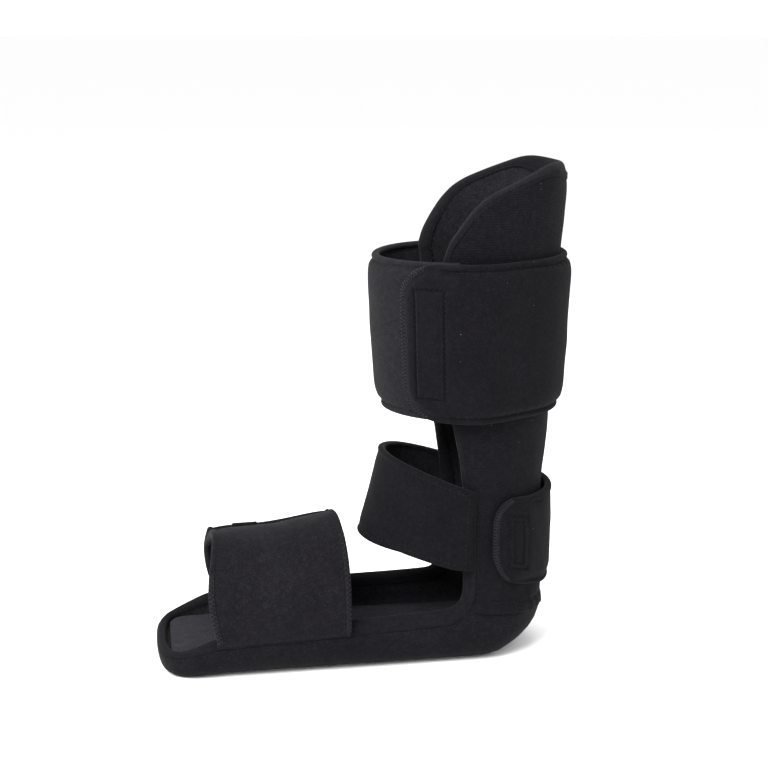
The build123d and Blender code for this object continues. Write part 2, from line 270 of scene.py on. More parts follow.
def fabric(name, dark, mid, light, fuzz=1500, rough=0.95, sheen=0.022, bump=0.00045, rib=None, specks=0.0, weave=None):
    """Brushed or woven cloth: fine pile, soft mottling, lint, optional ribs or weave."""
    m, nt, b = new_mat(name, rough, sheen, 0.45, 0.06)
    co = nt.nodes.new("ShaderNodeTexCoord").outputs["Object"]
    fine = noise(nt, co, fuzz, 3.0, 0.6)
    medium = noise(nt, co, fuzz / 4.5, 2.0)
    broad = noise(nt, co, 34, 2.0)
    f = mathn(nt, "MULTIPLY", fine, 0.66)
    f = mathn(nt, "ADD", f, mathn(nt, "MULTIPLY", medium, 0.22))
    f = mathn(nt, "ADD", f, mathn(nt, "MULTIPLY", broad, 0.12))
    height = mathn(nt, "ADD", mathn(nt, "MULTIPLY", fine, 0.7), mathn(nt, "MULTIPLY", medium, 0.3))
    if rib is not None:
        sep = nt.nodes.new("ShaderNodeSeparateXYZ")
        nt.links.new(co, sep.inputs[0])
        jit = mathn(nt, "MULTIPLY", noise(nt, co, 60, 1.0), 2.2)
        wave = mathn(nt, "SINE", mathn(nt, "ADD", mathn(nt, "MULTIPLY", sep.outputs["Z"], 2 * math.pi / rib), jit))
        wave = mathn(nt, "MULTIPLY", mathn(nt, "ADD", wave, 1.0), 0.5)
        height = mathn(nt, "ADD", height, mathn(nt, "MULTIPLY", wave, 0.22))
        f = mathn(nt, "ADD", f, mathn(nt, "MULTIPLY", mathn(nt, "SUBTRACT", wave, 0.5), 0.07))
    if weave is not None:
        sep = nt.nodes.new("ShaderNodeSeparateXYZ")
        nt.links.new(co, sep.inputs[0])
        w = 2 * math.pi / weave
        sx = mathn(nt, "SINE", mathn(nt, "MULTIPLY", mathn(nt, "ADD", sep.outputs["X"], sep.outputs["Y"]), w))
        sz = mathn(nt, "SINE", mathn(nt, "MULTIPLY", mathn(nt, "SUBTRACT", sep.outputs["Z"], mathn(nt, "MULTIPLY", sep.outputs["Y"], 0.5)), w))
        wv = mathn(nt, "MULTIPLY", mathn(nt, "ADD", mathn(nt, "MULTIPLY", sx, sz), 1.0), 0.5)
        height = mathn(nt, "ADD", height, mathn(nt, "MULTIPLY", wv, 0.8))
        f = mathn(nt, "ADD", f, mathn(nt, "MULTIPLY", mathn(nt, "SUBTRACT", wv, 0.5), 0.12))
    col = ramp(nt, f, [(0.34, dark), (0.5, mid), (0.68, light)])
    if specks:
        vo = nt.nodes.new("ShaderNodeTexVoronoi")
        vo.inputs["Scale"].default_value = 210
        nt.links.new(co, vo.inputs["Vector"])
        near = mathn(nt, "LESS_THAN", vo.outputs["Distance"], 0.055)
        sepc = nt.nodes.new("ShaderNodeSeparateColor")
        nt.links.new(vo.outputs["Color"], sepc.inputs[0])
        rare = mathn(nt, "GREATER_THAN", sepc.outputs[0], 1.0 - specks * 1.9)
        hit = mathn(nt, "MULTIPLY", near, rare)
        mix = nt.nodes.new("ShaderNodeMix")
        mix.data_type = "RGBA"
        nt.links.new(mathn(nt, "MULTIPLY", hit, 0.4), mix.inputs["Factor"])
        nt.links.new(col, mix.inputs["A"])
        mix.inputs["B"].default_value = lin(128, 126, 130)
        col = mix.outputs["Result"]
    nt.links.new(col, b.inputs["Base Color"])
    bp = nt.nodes.new("ShaderNodeBump")
    bp.inputs["Strength"].default_value = 0.75
    bp.inputs["Distance"].default_value = bump
    nt.links.new(height, bp.inputs["Height"])
    nt.links.new(bp.outputs["Normal"], b.inputs["Normal"])
    return m


LOOP = fabric("loop_fabric", lin(6, 6, 7), lin(12, 11, 14), lin(23, 22, 26), specks=0.05)
# lighter copy of the loop fabric for the far calf flap, whose front shows on the front-left: its extra lightness is
# painted light from the left
LOOP_FAR_LIT = fabric("loop_fabric_far_lit", lin(14, 13, 15), lin(24, 23, 26), lin(38, 37, 41), specks=0.05)
LOOP_LEG = fabric("loop_fabric_leg", lin(7, 6, 8), lin(13, 12, 15), lin(24, 23, 27), rib=0.0016, specks=0.07)
LOOP_FORE = fabric("loop_fabric_forefoot", lin(9, 8, 10), lin(17, 16, 19), lin(30, 29, 33), fuzz=1300, specks=0.06)
EDGE = fabric("edge_fabric", lin(8, 7, 9), lin(16, 15, 18), lin(27, 26, 30), fuzz=1700, bump=0.0003)
SOLE = fabric("sole_fabric", lin(8, 7, 9), lin(15, 14, 17), lin(27, 26, 30), fuzz=1100, bump=0.0004, specks=0.04)
LINING = fabric("lining_fabric", lin(16, 15, 17), lin(25, 24, 27), lin(38, 37, 41), fuzz=1000, bump=0.0005)
INSOLE = fabric("insole_fabric", lin(23, 22, 26), lin(35, 34, 39), lin(50, 49, 54), fuzz=900, bump=0.0005)
THREAD = fabric("thread", lin(12, 11, 13), lin(21, 20, 23), lin(33, 32, 36), fuzz=2600, rough=0.6, bump=0.0001)
FOAM = fabric("foam", lin(40, 40, 44), lin(54, 54, 58), lin(70, 70, 74), fuzz=700, rough=0.95, sheen=0.0, bump=0.0006)
LOCK = fabric("overlock_thread", lin(19, 18, 21), lin(30, 29, 33), lin(48, 47, 52), fuzz=2600, rough=0.6, bump=0.0001)
HOOK = fabric("hook_fastener", lin(10, 10, 11), lin(17, 17, 18), lin(30, 30, 31), fuzz=1100, rough=0.55, sheen=0.0, bump=0.0007, weave=0.0013)

ALU, nt, b = new_mat("aluminium", 0.34, 0.0, 0.3, 0.5)
b.inputs["Metallic"].default_value = 1.0
co = nt.nodes.new("ShaderNodeTexCoord").outputs["Object"]
scratch = noise(nt, co, 260, 4.0, 0.6, (1.0, 9.0, 0.5))
nt.links.new(ramp(nt, scratch, [(0.3, (0.52, 0.53, 0.54, 1)), (0.55, (0.70, 0.71, 0.72, 1)), (0.75, (0.82, 0.82, 0.83, 1))]), b.inputs["Base Color"])
bp = nt.nodes.new("ShaderNodeBump")
bp.inputs["Strength"].default_value = 0.25
bp.inputs["Distance"].default_value = 0.0001
nt.links.new(scratch, bp.inputs["Height"])
nt.links.new(bp.outputs["Normal"], b.inputs["Normal"])


# ------------------------------------------------------------------ trough geometry, in mm
LEG = np.array([(-5, 47.6, 44.6, 2.0), (27, 48.6, 45.0, 2.0), (60, 47.6, 44.7, 2.0), (112, 47.4, 44.6, 2.0),
                (145, 50.9, 46.0, 0.5), (161.5, 51.8, 46.5, -0.65), (261.5, 56.5, 49.5, -1.15), (325, 62.8, 53.4, -0.5)])
ZZ = np.arange(-10.0, 331.0)


def soften(col, w=25):
    v = np.interp(ZZ, LEG[:, 0], LEG[:, col])
    k = np.hanning(w)
    return np.convolve(np.pad(v, w // 2, mode="edge"), k / k.sum(), "valid")


BACK, HALF, CEN = soften(1), soften(2), soften(3)


def section(z):
    c = np.interp(z, ZZ, CEN)
    return np.interp(z, ZZ, BACK) - c, np.interp(z, ZZ, HALF), c


def leg_pt(th, z, d):
    a, b, c = section(z)
    ct, st = np.cos(th), np.sin(th)
    nx, ny = b * ct, a * st
    n = np.hypot(nx, ny)
    nx, ny = nx / n, ny / n
    return np.stack([c + a * ct - nx * d, b * st - ny * d, z + 0 * ct], -1), np.stack([nx, ny, 0 * nx], -1)


def theta_of(x, z):
    a, b, c = section(z)
    return np.arccos(np.clip((x - c) / a, -1, 1))


def catmull(pts, n=12):
    p = np.asarray(pts, float)
    p = np.vstack([2 * p[0] - p[1], p, 2 * p[-1] - p[-2]])
    out = []
    for i in range(1, len(p) - 2):
        for k in range(n):
            t = k / n
            out.append(0.5 * ((2 * p[i]) + (-p[i - 1] + p[i + 1]) * t + (2 * p[i - 1] - 5 * p[i] + 4 * p[i + 1] - p[i + 2]) * t * t
                              + (-p[i - 1] + 3 * p[i] - 3 * p[i + 1] + p[i + 2]) * t ** 3))
    out.append(p[-2])
    return np.array(out)


# plan outline of the tray, near side from the rear round to the toe and back
side_pts = [(2.0, 44.8), (-50.0, 46.3), (-110.0, 48.0), (-150.0, 47.9), (-176.0, 46.6), (-188.5, 43.0), (-197.0, 36.6),
            (-201.8, 27.6), (-204.2, 15.0), (-204.8, 0.0)]
half_line = catmull(side_pts, 16)
heel = np.array([(2 + 46.2 * math.cos(u), 44.8 * math.sin(u)) for u in np.linspace(0, math.pi / 2, 60)])
half_near = np.vstack([heel[:-1], half_line]) * np.array([1, -1])
loop_pts = np.vstack([half_near, (half_near * np.array([1, -1]))[::-1][1:-1]])
NOUT = 480
closed = np.vstack([loop_pts, loop_pts[:1]])
OUT, _ = resample(closed, np.linalg.norm(np.diff(closed, axis=0), axis=1).sum() / NOUT)
OUT = OUT[:-1]
NOUT = len(OUT)
for _ in range(6):
    OUT = (np.roll(OUT, 1, 0) + 2 * OUT + np.roll(OUT, -1, 0)) / 4
tan = np.roll(OUT, -1, 0) - np.roll(OUT, 1, 0)
tan /= np.linalg.norm(tan, axis=1, keepdims=True)
ONRM = np.stack([tan[:, 1], -tan[:, 0]], -1)
if (ONRM * (OUT - OUT.mean(0))).sum() < 0:
    ONRM = -ONRM
heelness = smooth(np.clip(ONRM[:, 0], 0, 1) * 1.15) * (OUT[:, 0] > 0)
toeness = smooth(np.clip(-ONRM[:, 0], 0, 1)) * (OUT[:, 0] < -150)
SIDE_R = np.interp(OUT[:, 0], (-205, -188, -165, -130, -100, -50, 0, 60), (9.0, 12.0, 17.5, 20.0, 20.0, 18.5, 18.0, 18.0))
FILLET = SIDE_R * (1 - heelness) * (1 - toeness) + 31.0 * heelness + 6.0 * toeness * (1 - heelness)
for _ in range(12):
    FILLET = (np.roll(FILLET, 1) + 2 * FILLET + np.roll(FILLET, -1)) / 4
DSC = 1 - 0.5 * toeness


def hem(x):
    return 34.5 - 0.13 * x


RIMX = np.array([(-260, 16.4), (-200, 16.4), (-192, 18.0), (-184, 20.8), (-170.9, 26.0), (-150, 28.6), (-120, 31.4),
                 (-84.9, 34.0), (-33.8, 35.8), (-18, 36.8)])
BAND = np.array([(-260, 3.0), (-197, 3.2), (-184, 4.4), (-168, 5.6), (-150, 6.6), (-120, 7.7), (-84.9, 8.8), (-33.8, 8.8), (-12, 8.8), (60, 9.2)])
TONGUE = np.array([(-27.1, 260.5), (-26.8, 264.0), (-25.9, 268.0), (-23.9, 272.6), (-20.2, 278.4), (-12.0, 289.8), (-3.3, 298.2), (5.6, 303.2), (18.2, 308.2),
                   (32.0, 313.4), (40.0, 316.5), (45, 318.0), (50, 318.7), (54, 318.6), (57, 318.3), (59.5, 318.0), (61.5, 317.7), (64, 317.4), (90, 317.2)])
FRONTX = np.array([(46, -12.4), (80, -12.6), (113.7, -12.9), (137, -16.0), (160.4, -21.0), (215, -24.6), (262, -26.7), (275, -26.9)])


def outline_at(x, side):
    """Point and normal of the tray outline at x, on the side (-1 near, +1 far)."""
    pick = (OUT[:, 1] * side > 0.0) & (OUT[:, 0] < 30)
    xs, ys, nx, ny = OUT[pick, 0], OUT[pick, 1], ONRM[pick, 0], ONRM[pick, 1]
    o = np.argsort(xs)
    return (np.interp(x, xs[o], ys[o]), np.interp(x, xs[o], nx[o]), np.interp(x, xs[o], ny[o]))


def rim_path():
    """Closed path of the free rim: points, outward normals, and a weight for how much each point lies on the leg part.
    """
    P, N, leg_w = [], [], []
    # top, from the middle of the back towards the near front corner
    for th in np.radians(np.linspace(0, 118.5, 120)):
        z = 300.0
        for _ in range(6):
            a, b, c = section(z)
            z = float(np.interp(c + a * math.cos(th), TONGUE[:, 0], TONGUE[:, 1]))
        p, n = leg_pt(np.array(-th), np.array(z), 0.0)
        P.append(p); N.append(n); leg_w.append(1.0)
    # down the front edge of the wing
    for z in np.arange(257, 47, -2.0):
        x = float(np.interp(z, FRONTX[:, 0], FRONTX[:, 1]))
        th = theta_of(x, z)
        p, n = leg_pt(np.array(-th), np.array(z), 0.0)
        P.append(p); N.append(n); leg_w.append(1.0)
    # ankle corner
    p0, n0 = P[-1], N[-1]
    x1 = -22.0
    y1, nx1, ny1 = outline_at(x1, -1)
    p1 = np.array([x1, y1, 36.6]); n1 = np.array([nx1, ny1, 0])
    q = np.array([-12.6, (p0[1] + y1) / 2, 37.4])
    for t in np.linspace(0, 1, 12)[1:]:
        P.append((1 - t) ** 2 * p0 + 2 * t * (1 - t) * q + t * t * p1)
        N.append((1 - t) * n0 + t * n1); leg_w.append(1 - t)
    # along the tray to the middle of the toe
    near = [i for i in range(NOUT) if OUT[i, 1] < 0 and OUT[i, 0] < x1 - 1]
    near.sort(key=lambda i: i)
    for i in near:
        x = OUT[i, 0]
        P.append(np.array([x, OUT[i, 1], float(np.interp(x, RIMX[:, 0], RIMX[:, 1]))]))
        N.append(np.array([ONRM[i, 0], ONRM[i, 1], 0])); leg_w.append(0.0)
    P, N, leg_w = np.array(P), np.array(N), np.array(leg_w)
    m = np.array([1, -1, 1])
    P = np.vstack([P, (P * m)[::-1][:-1]])
    N = np.vstack([N, (N * m)[::-1][:-1]])
    leg_w = np.concatenate([leg_w, leg_w[::-1][:-1]])
    data = np.hstack([P, N, leg_w[:, None]])
    data = np.vstack([data, data[:1]])
    seg = np.concatenate([[0], np.cumsum(np.linalg.norm(np.diff(data[:, :3], axis=0), axis=1))])
    n = int(seg[-1] / 1.7)
    t = np.linspace(0, seg[-1], n, endpoint=False)
    data = np.stack([np.interp(t, seg, data[:, k]) for k in range(7)], -1)
    for _ in range(5):
        data = (np.roll(data, 1, 0) + 2 * data + np.roll(data, -1, 0)) / 4
    P, N, leg_w = data[:, :3], data[:, 3:6], data[:, 6]
    N /= np.linalg.norm(N, axis=1, keepdims=True)
    return P, N, leg_w


RP, RN, RW = rim_path()
RT = np.roll(RP, -1, 0) - np.roll(RP, 1, 0)
RT /= np.linalg.norm(RT, axis=1, keepdims=True)
RD = np.cross(RN, RT)
RD /= np.linalg.norm(RD, axis=1, keepdims=True)
RH = np.where(RW > 0.5, 9.2, np.interp(RP[:, 0], BAND[:, 0], BAND[:, 1]))
NARROW = smooth((RP[:, 2] - 98) / 18.0)
BACKN = smooth((RN[:, 0] - 0.45) / 0.5) * NARROW
RH = RH * (1 - NARROW) + 4.2 * NARROW + 7.3 * BACKN
for _ in range(10):
    RH = (np.roll(RH, 1) + 2 * RH + np.roll(RH, -1)) / 4
RTOE = smooth(np.clip(-RN[:, 0], 0, 1)) * (RP[:, 0] < -150)
RWALL = 10.0 - 5.2 * RTOE
KAPPA = (RD[:, 0] ** 2 + RD[:, 1] ** 2) / 47.0


_sa, _sb, _sc = section(RP[:, 2])
RTH = np.arctan2(RP[:, 1] / _sb, (RP[:, 0] - _sc) / _sa)


def wall_lean(q):
    """How far the wall has moved in, q below the rim, from the leg part's own section."""
    a1, b1, c1 = section(RP[:, None, 2] + RD[:, None, 2] * q)
    ct, st = np.cos(RTH)[:, None], np.sin(RTH)[:, None]
    dx = (_sc + _sa * np.cos(RTH))[:, None] - (c1 + a1 * ct)
    dy = (_sb * np.sin(RTH))[:, None] - b1 * st
    return (RN[:, :1] * dx + RN[:, 1:2] * dy) * (NARROW * smooth((RN[:, 0] + 0.1) / 0.5))[:, None]


def band_pts(q, d):
    """Points of the wall near the rim: q down from the rim, d in from the outer face; arrays (path, profile)."""
    return (RP[:, None] + RD[:, None] * q[..., None]
            - RN[:, None] * (d + KAPPA[:, None] * q ** 2 / 2 + wall_lean(q))[..., None])


# ---- edge band: a folded strip round the whole rim
n_r = len(RP)
prof_q, prof_d, kind = [], [], []
re_ = np.minimum(5.0 + 4.6 * BACKN, RH * (0.62 + 0.2 * NARROW))
NS = 9
for s in np.linspace(1, 0, NS):                        # outer leg, seam to shoulder
    prof_q.append(re_ + (RH - re_) * s)
    prof_d.append(0.55 * smooth(np.array((s - 0.78) / 0.22)) - 0.75 * math.sin(math.pi * min(1, (1 - s) * 0.9 + 0.05)) + 0 * RH)
for ph in np.linspace(0, math.pi, 15)[1:-1]:          # over the top
    prof_q.append(re_ * (1 - math.sin(ph)))
    prof_d.append(RWALL * (0.5 - 0.5 * math.cos(ph)) ** (1 - 0.42 * BACKN) - 0.75 * math.sin(math.pi * 0.95) * math.cos(ph))
for s in np.linspace(0, 1, NS):                        # inner leg
    prof_q.append(re_ + (RH - re_) * s)
    prof_d.append(RWALL - 0.45 * smooth(np.array((s - 0.78) / 0.22)) + 0.4 * math.sin(math.pi * min(1, s * 0.9 + 0.05)))
Q, D = np.array(prof_q).T, np.array(prof_d).T
D = np.where(D < 1.0, D * (1 - 0.8 * NARROW)[:, None], D) + 1.32 * BACKN[:, None] * smooth(Q / 6.0) * (np.arange(Q.shape[1]) < NS + 7)
outer = band_pts(Q, D)
crease = wob(outer, 16, 5, 2)
pucker = np.exp(-((RP[:, 0] + 14) ** 2 + (RP[:, 2] - 40) ** 2) / 140.0)[:, None]
fold = np.sin(np.arctan2(RP[:, 2] - 40, RP[:, 0] + 14)[:, None] * 9.0)
outer = outer - RN[:, None] * (0.28 * crease + 0.9 * pucker * fold * np.sin(np.pi * np.linspace(0, 1, Q.shape[1]))[None])[..., None]
Qi = np.clip(Q, 1.35, None)
Di = np.clip(D, 1.35, RWALL[:, None] - 1.35)
inner = band_pts(np.minimum(Qi, RH[:, None] - 0.15), Di)
ringv = np.concatenate([outer, inner[:, ::-1]], axis=1)
npr = ringv.shape[1]
f = []
idx = np.arange(n_r)
for k in range(npr):
    k2 = (k + 1) % npr
    f.append(np.stack([idx * npr + k, ((idx + 1) % n_r) * npr + k, ((idx + 1) % n_r) * npr + k2, idx * npr + k2], -1))
edge_ob = clean(mesh_from("edge_band_soft", ringv.reshape(-1, 3), np.concatenate(f), [EDGE]))
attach(edge_ob, "trough"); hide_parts("edge_band")

# ---- seam curves of the leg part in (angle, height)
half_n = (n_r + 1) // 2
seam3 = band_pts((RH - 1.4)[:, None], np.zeros((n_r, 1)))[:, 0]
near_leg = [i for i in range(half_n) if RW[i] > 0.55 or (RP[i, 2] > 44)]
sa, sb, sc = section(seam3[near_leg, 2])
sth = np.arctan2(np.abs(seam3[near_leg, 1]) / sb, (seam3[near_leg, 0] - sc) / sa)
szz = seam3[near_leg, 2]
ic = int(np.argmax(sth))
top_th, top_z = sth[:ic + 1], szz[:ic + 1]
fr_th, fr_z = sth[ic:], szz[ic:]
TH_C, Z_C = float(sth[ic]), float(szz[ic])
o = np.argsort(top_th)
top_th, top_z = top_th[o], top_z[o]
o = np.argsort(fr_z)
fr_z, fr_th = fr_z[o], fr_th[o]


def leg_grid(nu, nv, low):
    u = np.linspace(-1, 1, nu)
    u = np.sign(u) * (1 - (1 - np.abs(u)) ** 1.0)
    thn = np.abs(u) * TH_C
    ztop = np.interp(thn, top_th, top_z)
    v = np.concatenate([np.linspace(0, 0.055, 26), np.linspace(0.055, 1, nv - 25)[1:]])
    z_guess = np.full(nu, 34.0)
    a, b, c = section(z_guess)
    zb = hem(c + a * np.cos(thn * 0.85)) + low
    Z = zb[:, None] + (ztop - zb)[:, None] * v[None]
    TE = np.where(Z < Z_C, np.interp(Z, fr_z, fr_th), TH_C)
    TH = u[:, None] * TE
    return TH, Z, zb, np.abs(u)


def leg_layer(name, d_out, d_in, mats, nodes, low=0.0, hem_roll=False, nu=181, nv=190, tuck=0.8, wave=0.35):
    TH, Z, zb, au = leg_grid(nu, nv, low)
    P0, N0 = leg_pt(TH, Z, 0.0)
    e_front = (1 - au)[:, None] * 55.0
    e_top = (Z[:, -1:] - Z)
    near_edge = np.minimum(e_front, e_top)
    d = d_out + tuck * (1 - smooth(near_edge / 3.5)) * (1 - 0.8 * smooth((Z - 98) / 18))
    lean_in = 1.5 * smooth((N0[..., 0] - 0.45) / 0.5) * np.clip(1 - e_top / 15.0, 0, 1) ** 1.8
    if d_out < 5:
        d = d + lean_in
        d_in = d_in + lean_in * (1.0 if d_in < 3 else 0.0)
    e = Z - zb[:, None]
    bump = wave * wob(P0, 34, 11, 2) + 0.12 * wob(P0, 9, 12, 1)
    if hem_roll:
        bump = bump + (1.9 - 1.3 * np.exp(-(TH / 0.45) ** 2)) * smooth((e + 0.5) / 1.6) * (1 - smooth((e - 4.4) / 3.2)) - 0.55 * np.exp(-((e - 8.0) / 0.8) ** 2)
        bump = bump + 0.35 * np.sin(TH * 31) * np.exp(-e / 9.0)
        # light drag lines where the tab pulls round the heel
        bump = bump + 0.3 * np.sin(Z / 2.9 + 3 * wob(P0, 40, 3, 1)) * np.exp(-((Z - 42) / 10.0) ** 2)
    d = d - bump
    mid = (d + d_in) / 2
    half = (d_in - d) / 2
    brd = np.ones_like(d)
    brd[0] = brd[-1] = 0
    brd[:, 0] = brd[:, -1] = 0
    out, _ = leg_pt(TH, Z, mid - half * brd)
    inn, _ = leg_pt(TH, Z, mid + half * brd)
    ob = slab(name, out, inn, mats)
    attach(ob, "trough")
    if nodes:
        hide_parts(*nodes)
    return ob, out, N0, TH, Z, zb


cover_leg, LC, LN, LTH, LZ, LZB = leg_layer("leg_cover_soft", 0.1, 1.5, [LOOP_LEG], ["leg_cover"], hem_roll=True)
leg_layer("leg_foam_soft", 2.0, 8.6, [FOAM], ["leg_foam"], low=1.5, nu=91, nv=90, tuck=0.0, wave=0.0)
leg_layer("leg_lining_soft", 8.9, 9.8, [LINING], ["leg_lining"], low=-0.5, nu=121, nv=120, tuck=0.0, wave=0.0)

# ---- foot tray rings
med = np.stack([np.clip(OUT[:, 0], -165, -25), 0 * OUT[:, 1]], -1)


def foot_rings(d, zt, nb=12, nf=9, nw=12, bulge=0.0, rmin=2.5, dtop=0.0):
    R = np.maximum(FILLET - d, rmin)
    dd = d * DSC
    rows = []
    inner_ring = OUT - ONRM * (dd + R)[:, None]
    for k in np.linspace(0, 1, nb):
        p = med * (1 - k) + inner_ring * k
        rows.append(np.column_stack([p, np.full(NOUT, d)]))
    for ph in np.linspace(0, math.pi / 2, nf)[1:]:
        p = OUT - ONRM * (dd + R * (1 - math.sin(ph)))[:, None]
        rows.append(np.column_stack([p, d + R * (1 - math.cos(ph))]))
    z0 = d + R
    for s in np.linspace(0, 1, nw)[1:]:
        tuck = dtop * smooth(np.array((s - 0.72) / 0.2))
        p = OUT - ONRM * (dd - bulge * math.sin(math.pi * s) + tuck)[:, None]
        rows.append(np.column_stack([p, z0 + (zt - z0) * s]))
    return np.stack(rows, 1)


heel_top = hem(OUT[:, 0]) + 4.0
side_top = np.interp(OUT[:, 0], RIMX[:, 0], RIMX[:, 1]) - np.interp(OUT[:, 0], BAND[:, 0], BAND[:, 1]) + 1.4
wb = smooth((OUT[:, 0] + 17) / 10.0)
FTOP = heel_top * wb + side_top * (1 - wb)


def foot_layer(name, d_out, d_in, mats, nodes, zt, bulge=0.0, wave=0.0, dtop=0.0):
    o_ = foot_rings(d_out, zt, bulge=bulge, dtop=dtop)
    i_ = foot_rings(d_in, zt, bulge=bulge, dtop=dtop)
    if wave:
        n3 = np.zeros_like(o_)
        n3[..., :2] = ONRM[:, None]
        up = smooth((o_[..., 2] - 6) / 8.0)
        o_ = o_ + n3 * (wave * wob(o_, 30, 21, 2) * up)[..., None]
    i_[:, -1] = o_[:, -1]
    nv = o_.shape[1]
    v = np.concatenate([o_.reshape(-1, 3), i_.reshape(-1, 3)])
    f = np.concatenate([quads(NOUT, nv, wrap_u=True), quads(NOUT, nv, wrap_u=True, base=NOUT * nv, flip=True)])
    ob = clean(mesh_from(name, v, f, mats), 4e-6)
    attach(ob, "trough"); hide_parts(*nodes)
    return ob, o_


cover_foot, FC = foot_layer("foot_cover_soft", 0.0, 1.4, [SOLE], ["foot_cover"], FTOP, bulge=0.7, wave=0.35, dtop=0.9)
foot_layer("foot_foam_soft", 1.9, 8.3, [FOAM], ["foot_foam"], FTOP - 1.0, dtop=0.0)
foot_layer("foot_lining_soft", 8.8, 9.8, [LINING], ["foot_lining"], FTOP + 0.6)

# ---- insole: soft pad with a straight front edge
ins_line = OUT - ONRM * (12.0 - 6.3 * toeness)[:, None]
ins_line[:, 0] = np.clip(ins_line[:, 0], -196.4, 25.0)
rows = []
med2 = np.stack([np.clip(ins_line[:, 0], -170, -20), 0 * ins_line[:, 1]], -1)
nrm2 = np.roll(ins_line, -1, 0) - np.roll(ins_line, 1, 0)
nrm2 = np.stack([nrm2[:, 1], -nrm2[:, 0]], -1)
nrm2 /= np.maximum(np.linalg.norm(nrm2, axis=1, keepdims=True), 1e-6)
if (nrm2 * (ins_line - ins_line.mean(0))).sum() < 0:
    nrm2 = -nrm2
for _ in range(8):
    nrm2 = (np.roll(nrm2, 1, 0) + 2 * nrm2 + np.roll(nrm2, -1, 0)) / 4
T2 = 2.0
for k in np.linspace(0, 1, 16):
    p = med2 * (1 - k) + (ins_line - nrm2 * T2) * k
    z = 14.15 + 0.45 * (1 - k ** 3) + 0.12 * wob(np.column_stack([p, 0 * p[:, 0]]), 22, 8, 2)
    rows.append(np.column_stack([p, z]))
for ph in np.linspace(0, math.pi, 9)[1:-1]:
    p = ins_line - nrm2 * (T2 * (1 - math.sin(ph)))
    rows.append(np.column_stack([p, np.full(NOUT, 12.15 + T2 * math.cos(ph))]))
for k in np.linspace(1, 0, 8):
    p = med2 * (1 - k) + (ins_line - nrm2 * T2) * k
    rows.append(np.column_stack([p, np.full(NOUT, 10.15)]))
G = np.stack(rows, 1)
ins = clean(mesh_from("insole_soft", G.reshape(-1, 3), quads(NOUT, G.shape[1], wrap_u=True), [INSOLE]), 4e-6)
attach(ins, "insole_pad"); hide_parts("insole")

# ------------------------------------------------------------------ wraps
FINE = [0, 0.12, 0.35, 0.7, 1.1, 1.6, 2.2, 2.8, 3.4, 3.9, 4.3, 4.7, 5.1, 5.6, 6.3, 7.2, 8.6, 10.5, 13.0]


def rolled(e, body=6.0, bead=6.5, w=4.8, groove=4.2, run=4.5):
    """Thickness of a padded strip against the distance from its turned edge."""
    t = bead * np.sqrt(np.clip(1 - ((e - w / 2) / (w / 2)) ** 2, 0, 1))
    pad = groove + (body - groove) * (1 - np.exp(-np.clip(e - w, 0, None) / run))
    return np.where(e < w * 0.5, t, np.maximum(t, pad * (e > w * 0.5)))


def thin_edge(e, t_edge, t_body, w):
    """Thickness near a cut and overlocked edge."""
    return (t_edge + (t_body - t_edge) * smooth((e - w * 0.6) / (w * 1.6))) * np.sqrt(np.clip(1 - (1 - np.clip(e / 1.3, 0, 1)) ** 2, 0, 1))


CALF = np.array([(161.5, -0.65, 53.0, 47.0), (261.5, -1.15, 58.2, 50.0)])


def calf_pt(th, z, off):
    k = (z - 161.5) / 100.0
    c, a, b = (CALF[0, j] + (CALF[1, j] - CALF[0, j]) * k for j in (1, 2, 3))
    ct, st = np.cos(th), np.sin(th)
    nx, ny = b * ct, a * st
    n = np.hypot(nx, ny)
    nx, ny = nx / n, ny / n
    return np.stack([c + a * ct + nx * off, b * st + ny * off, z + 0 * ct], -1), np.stack([nx, ny, 0 * nx], -1)


def calf_edge_wave(th, z, top):
    """Slight rise and fall of the wrap's top and bottom edges."""
    return 0.9 * np.sin(th * 1.0 + 0.6) + 0.35 * np.sin(th * 3 + 1.0)


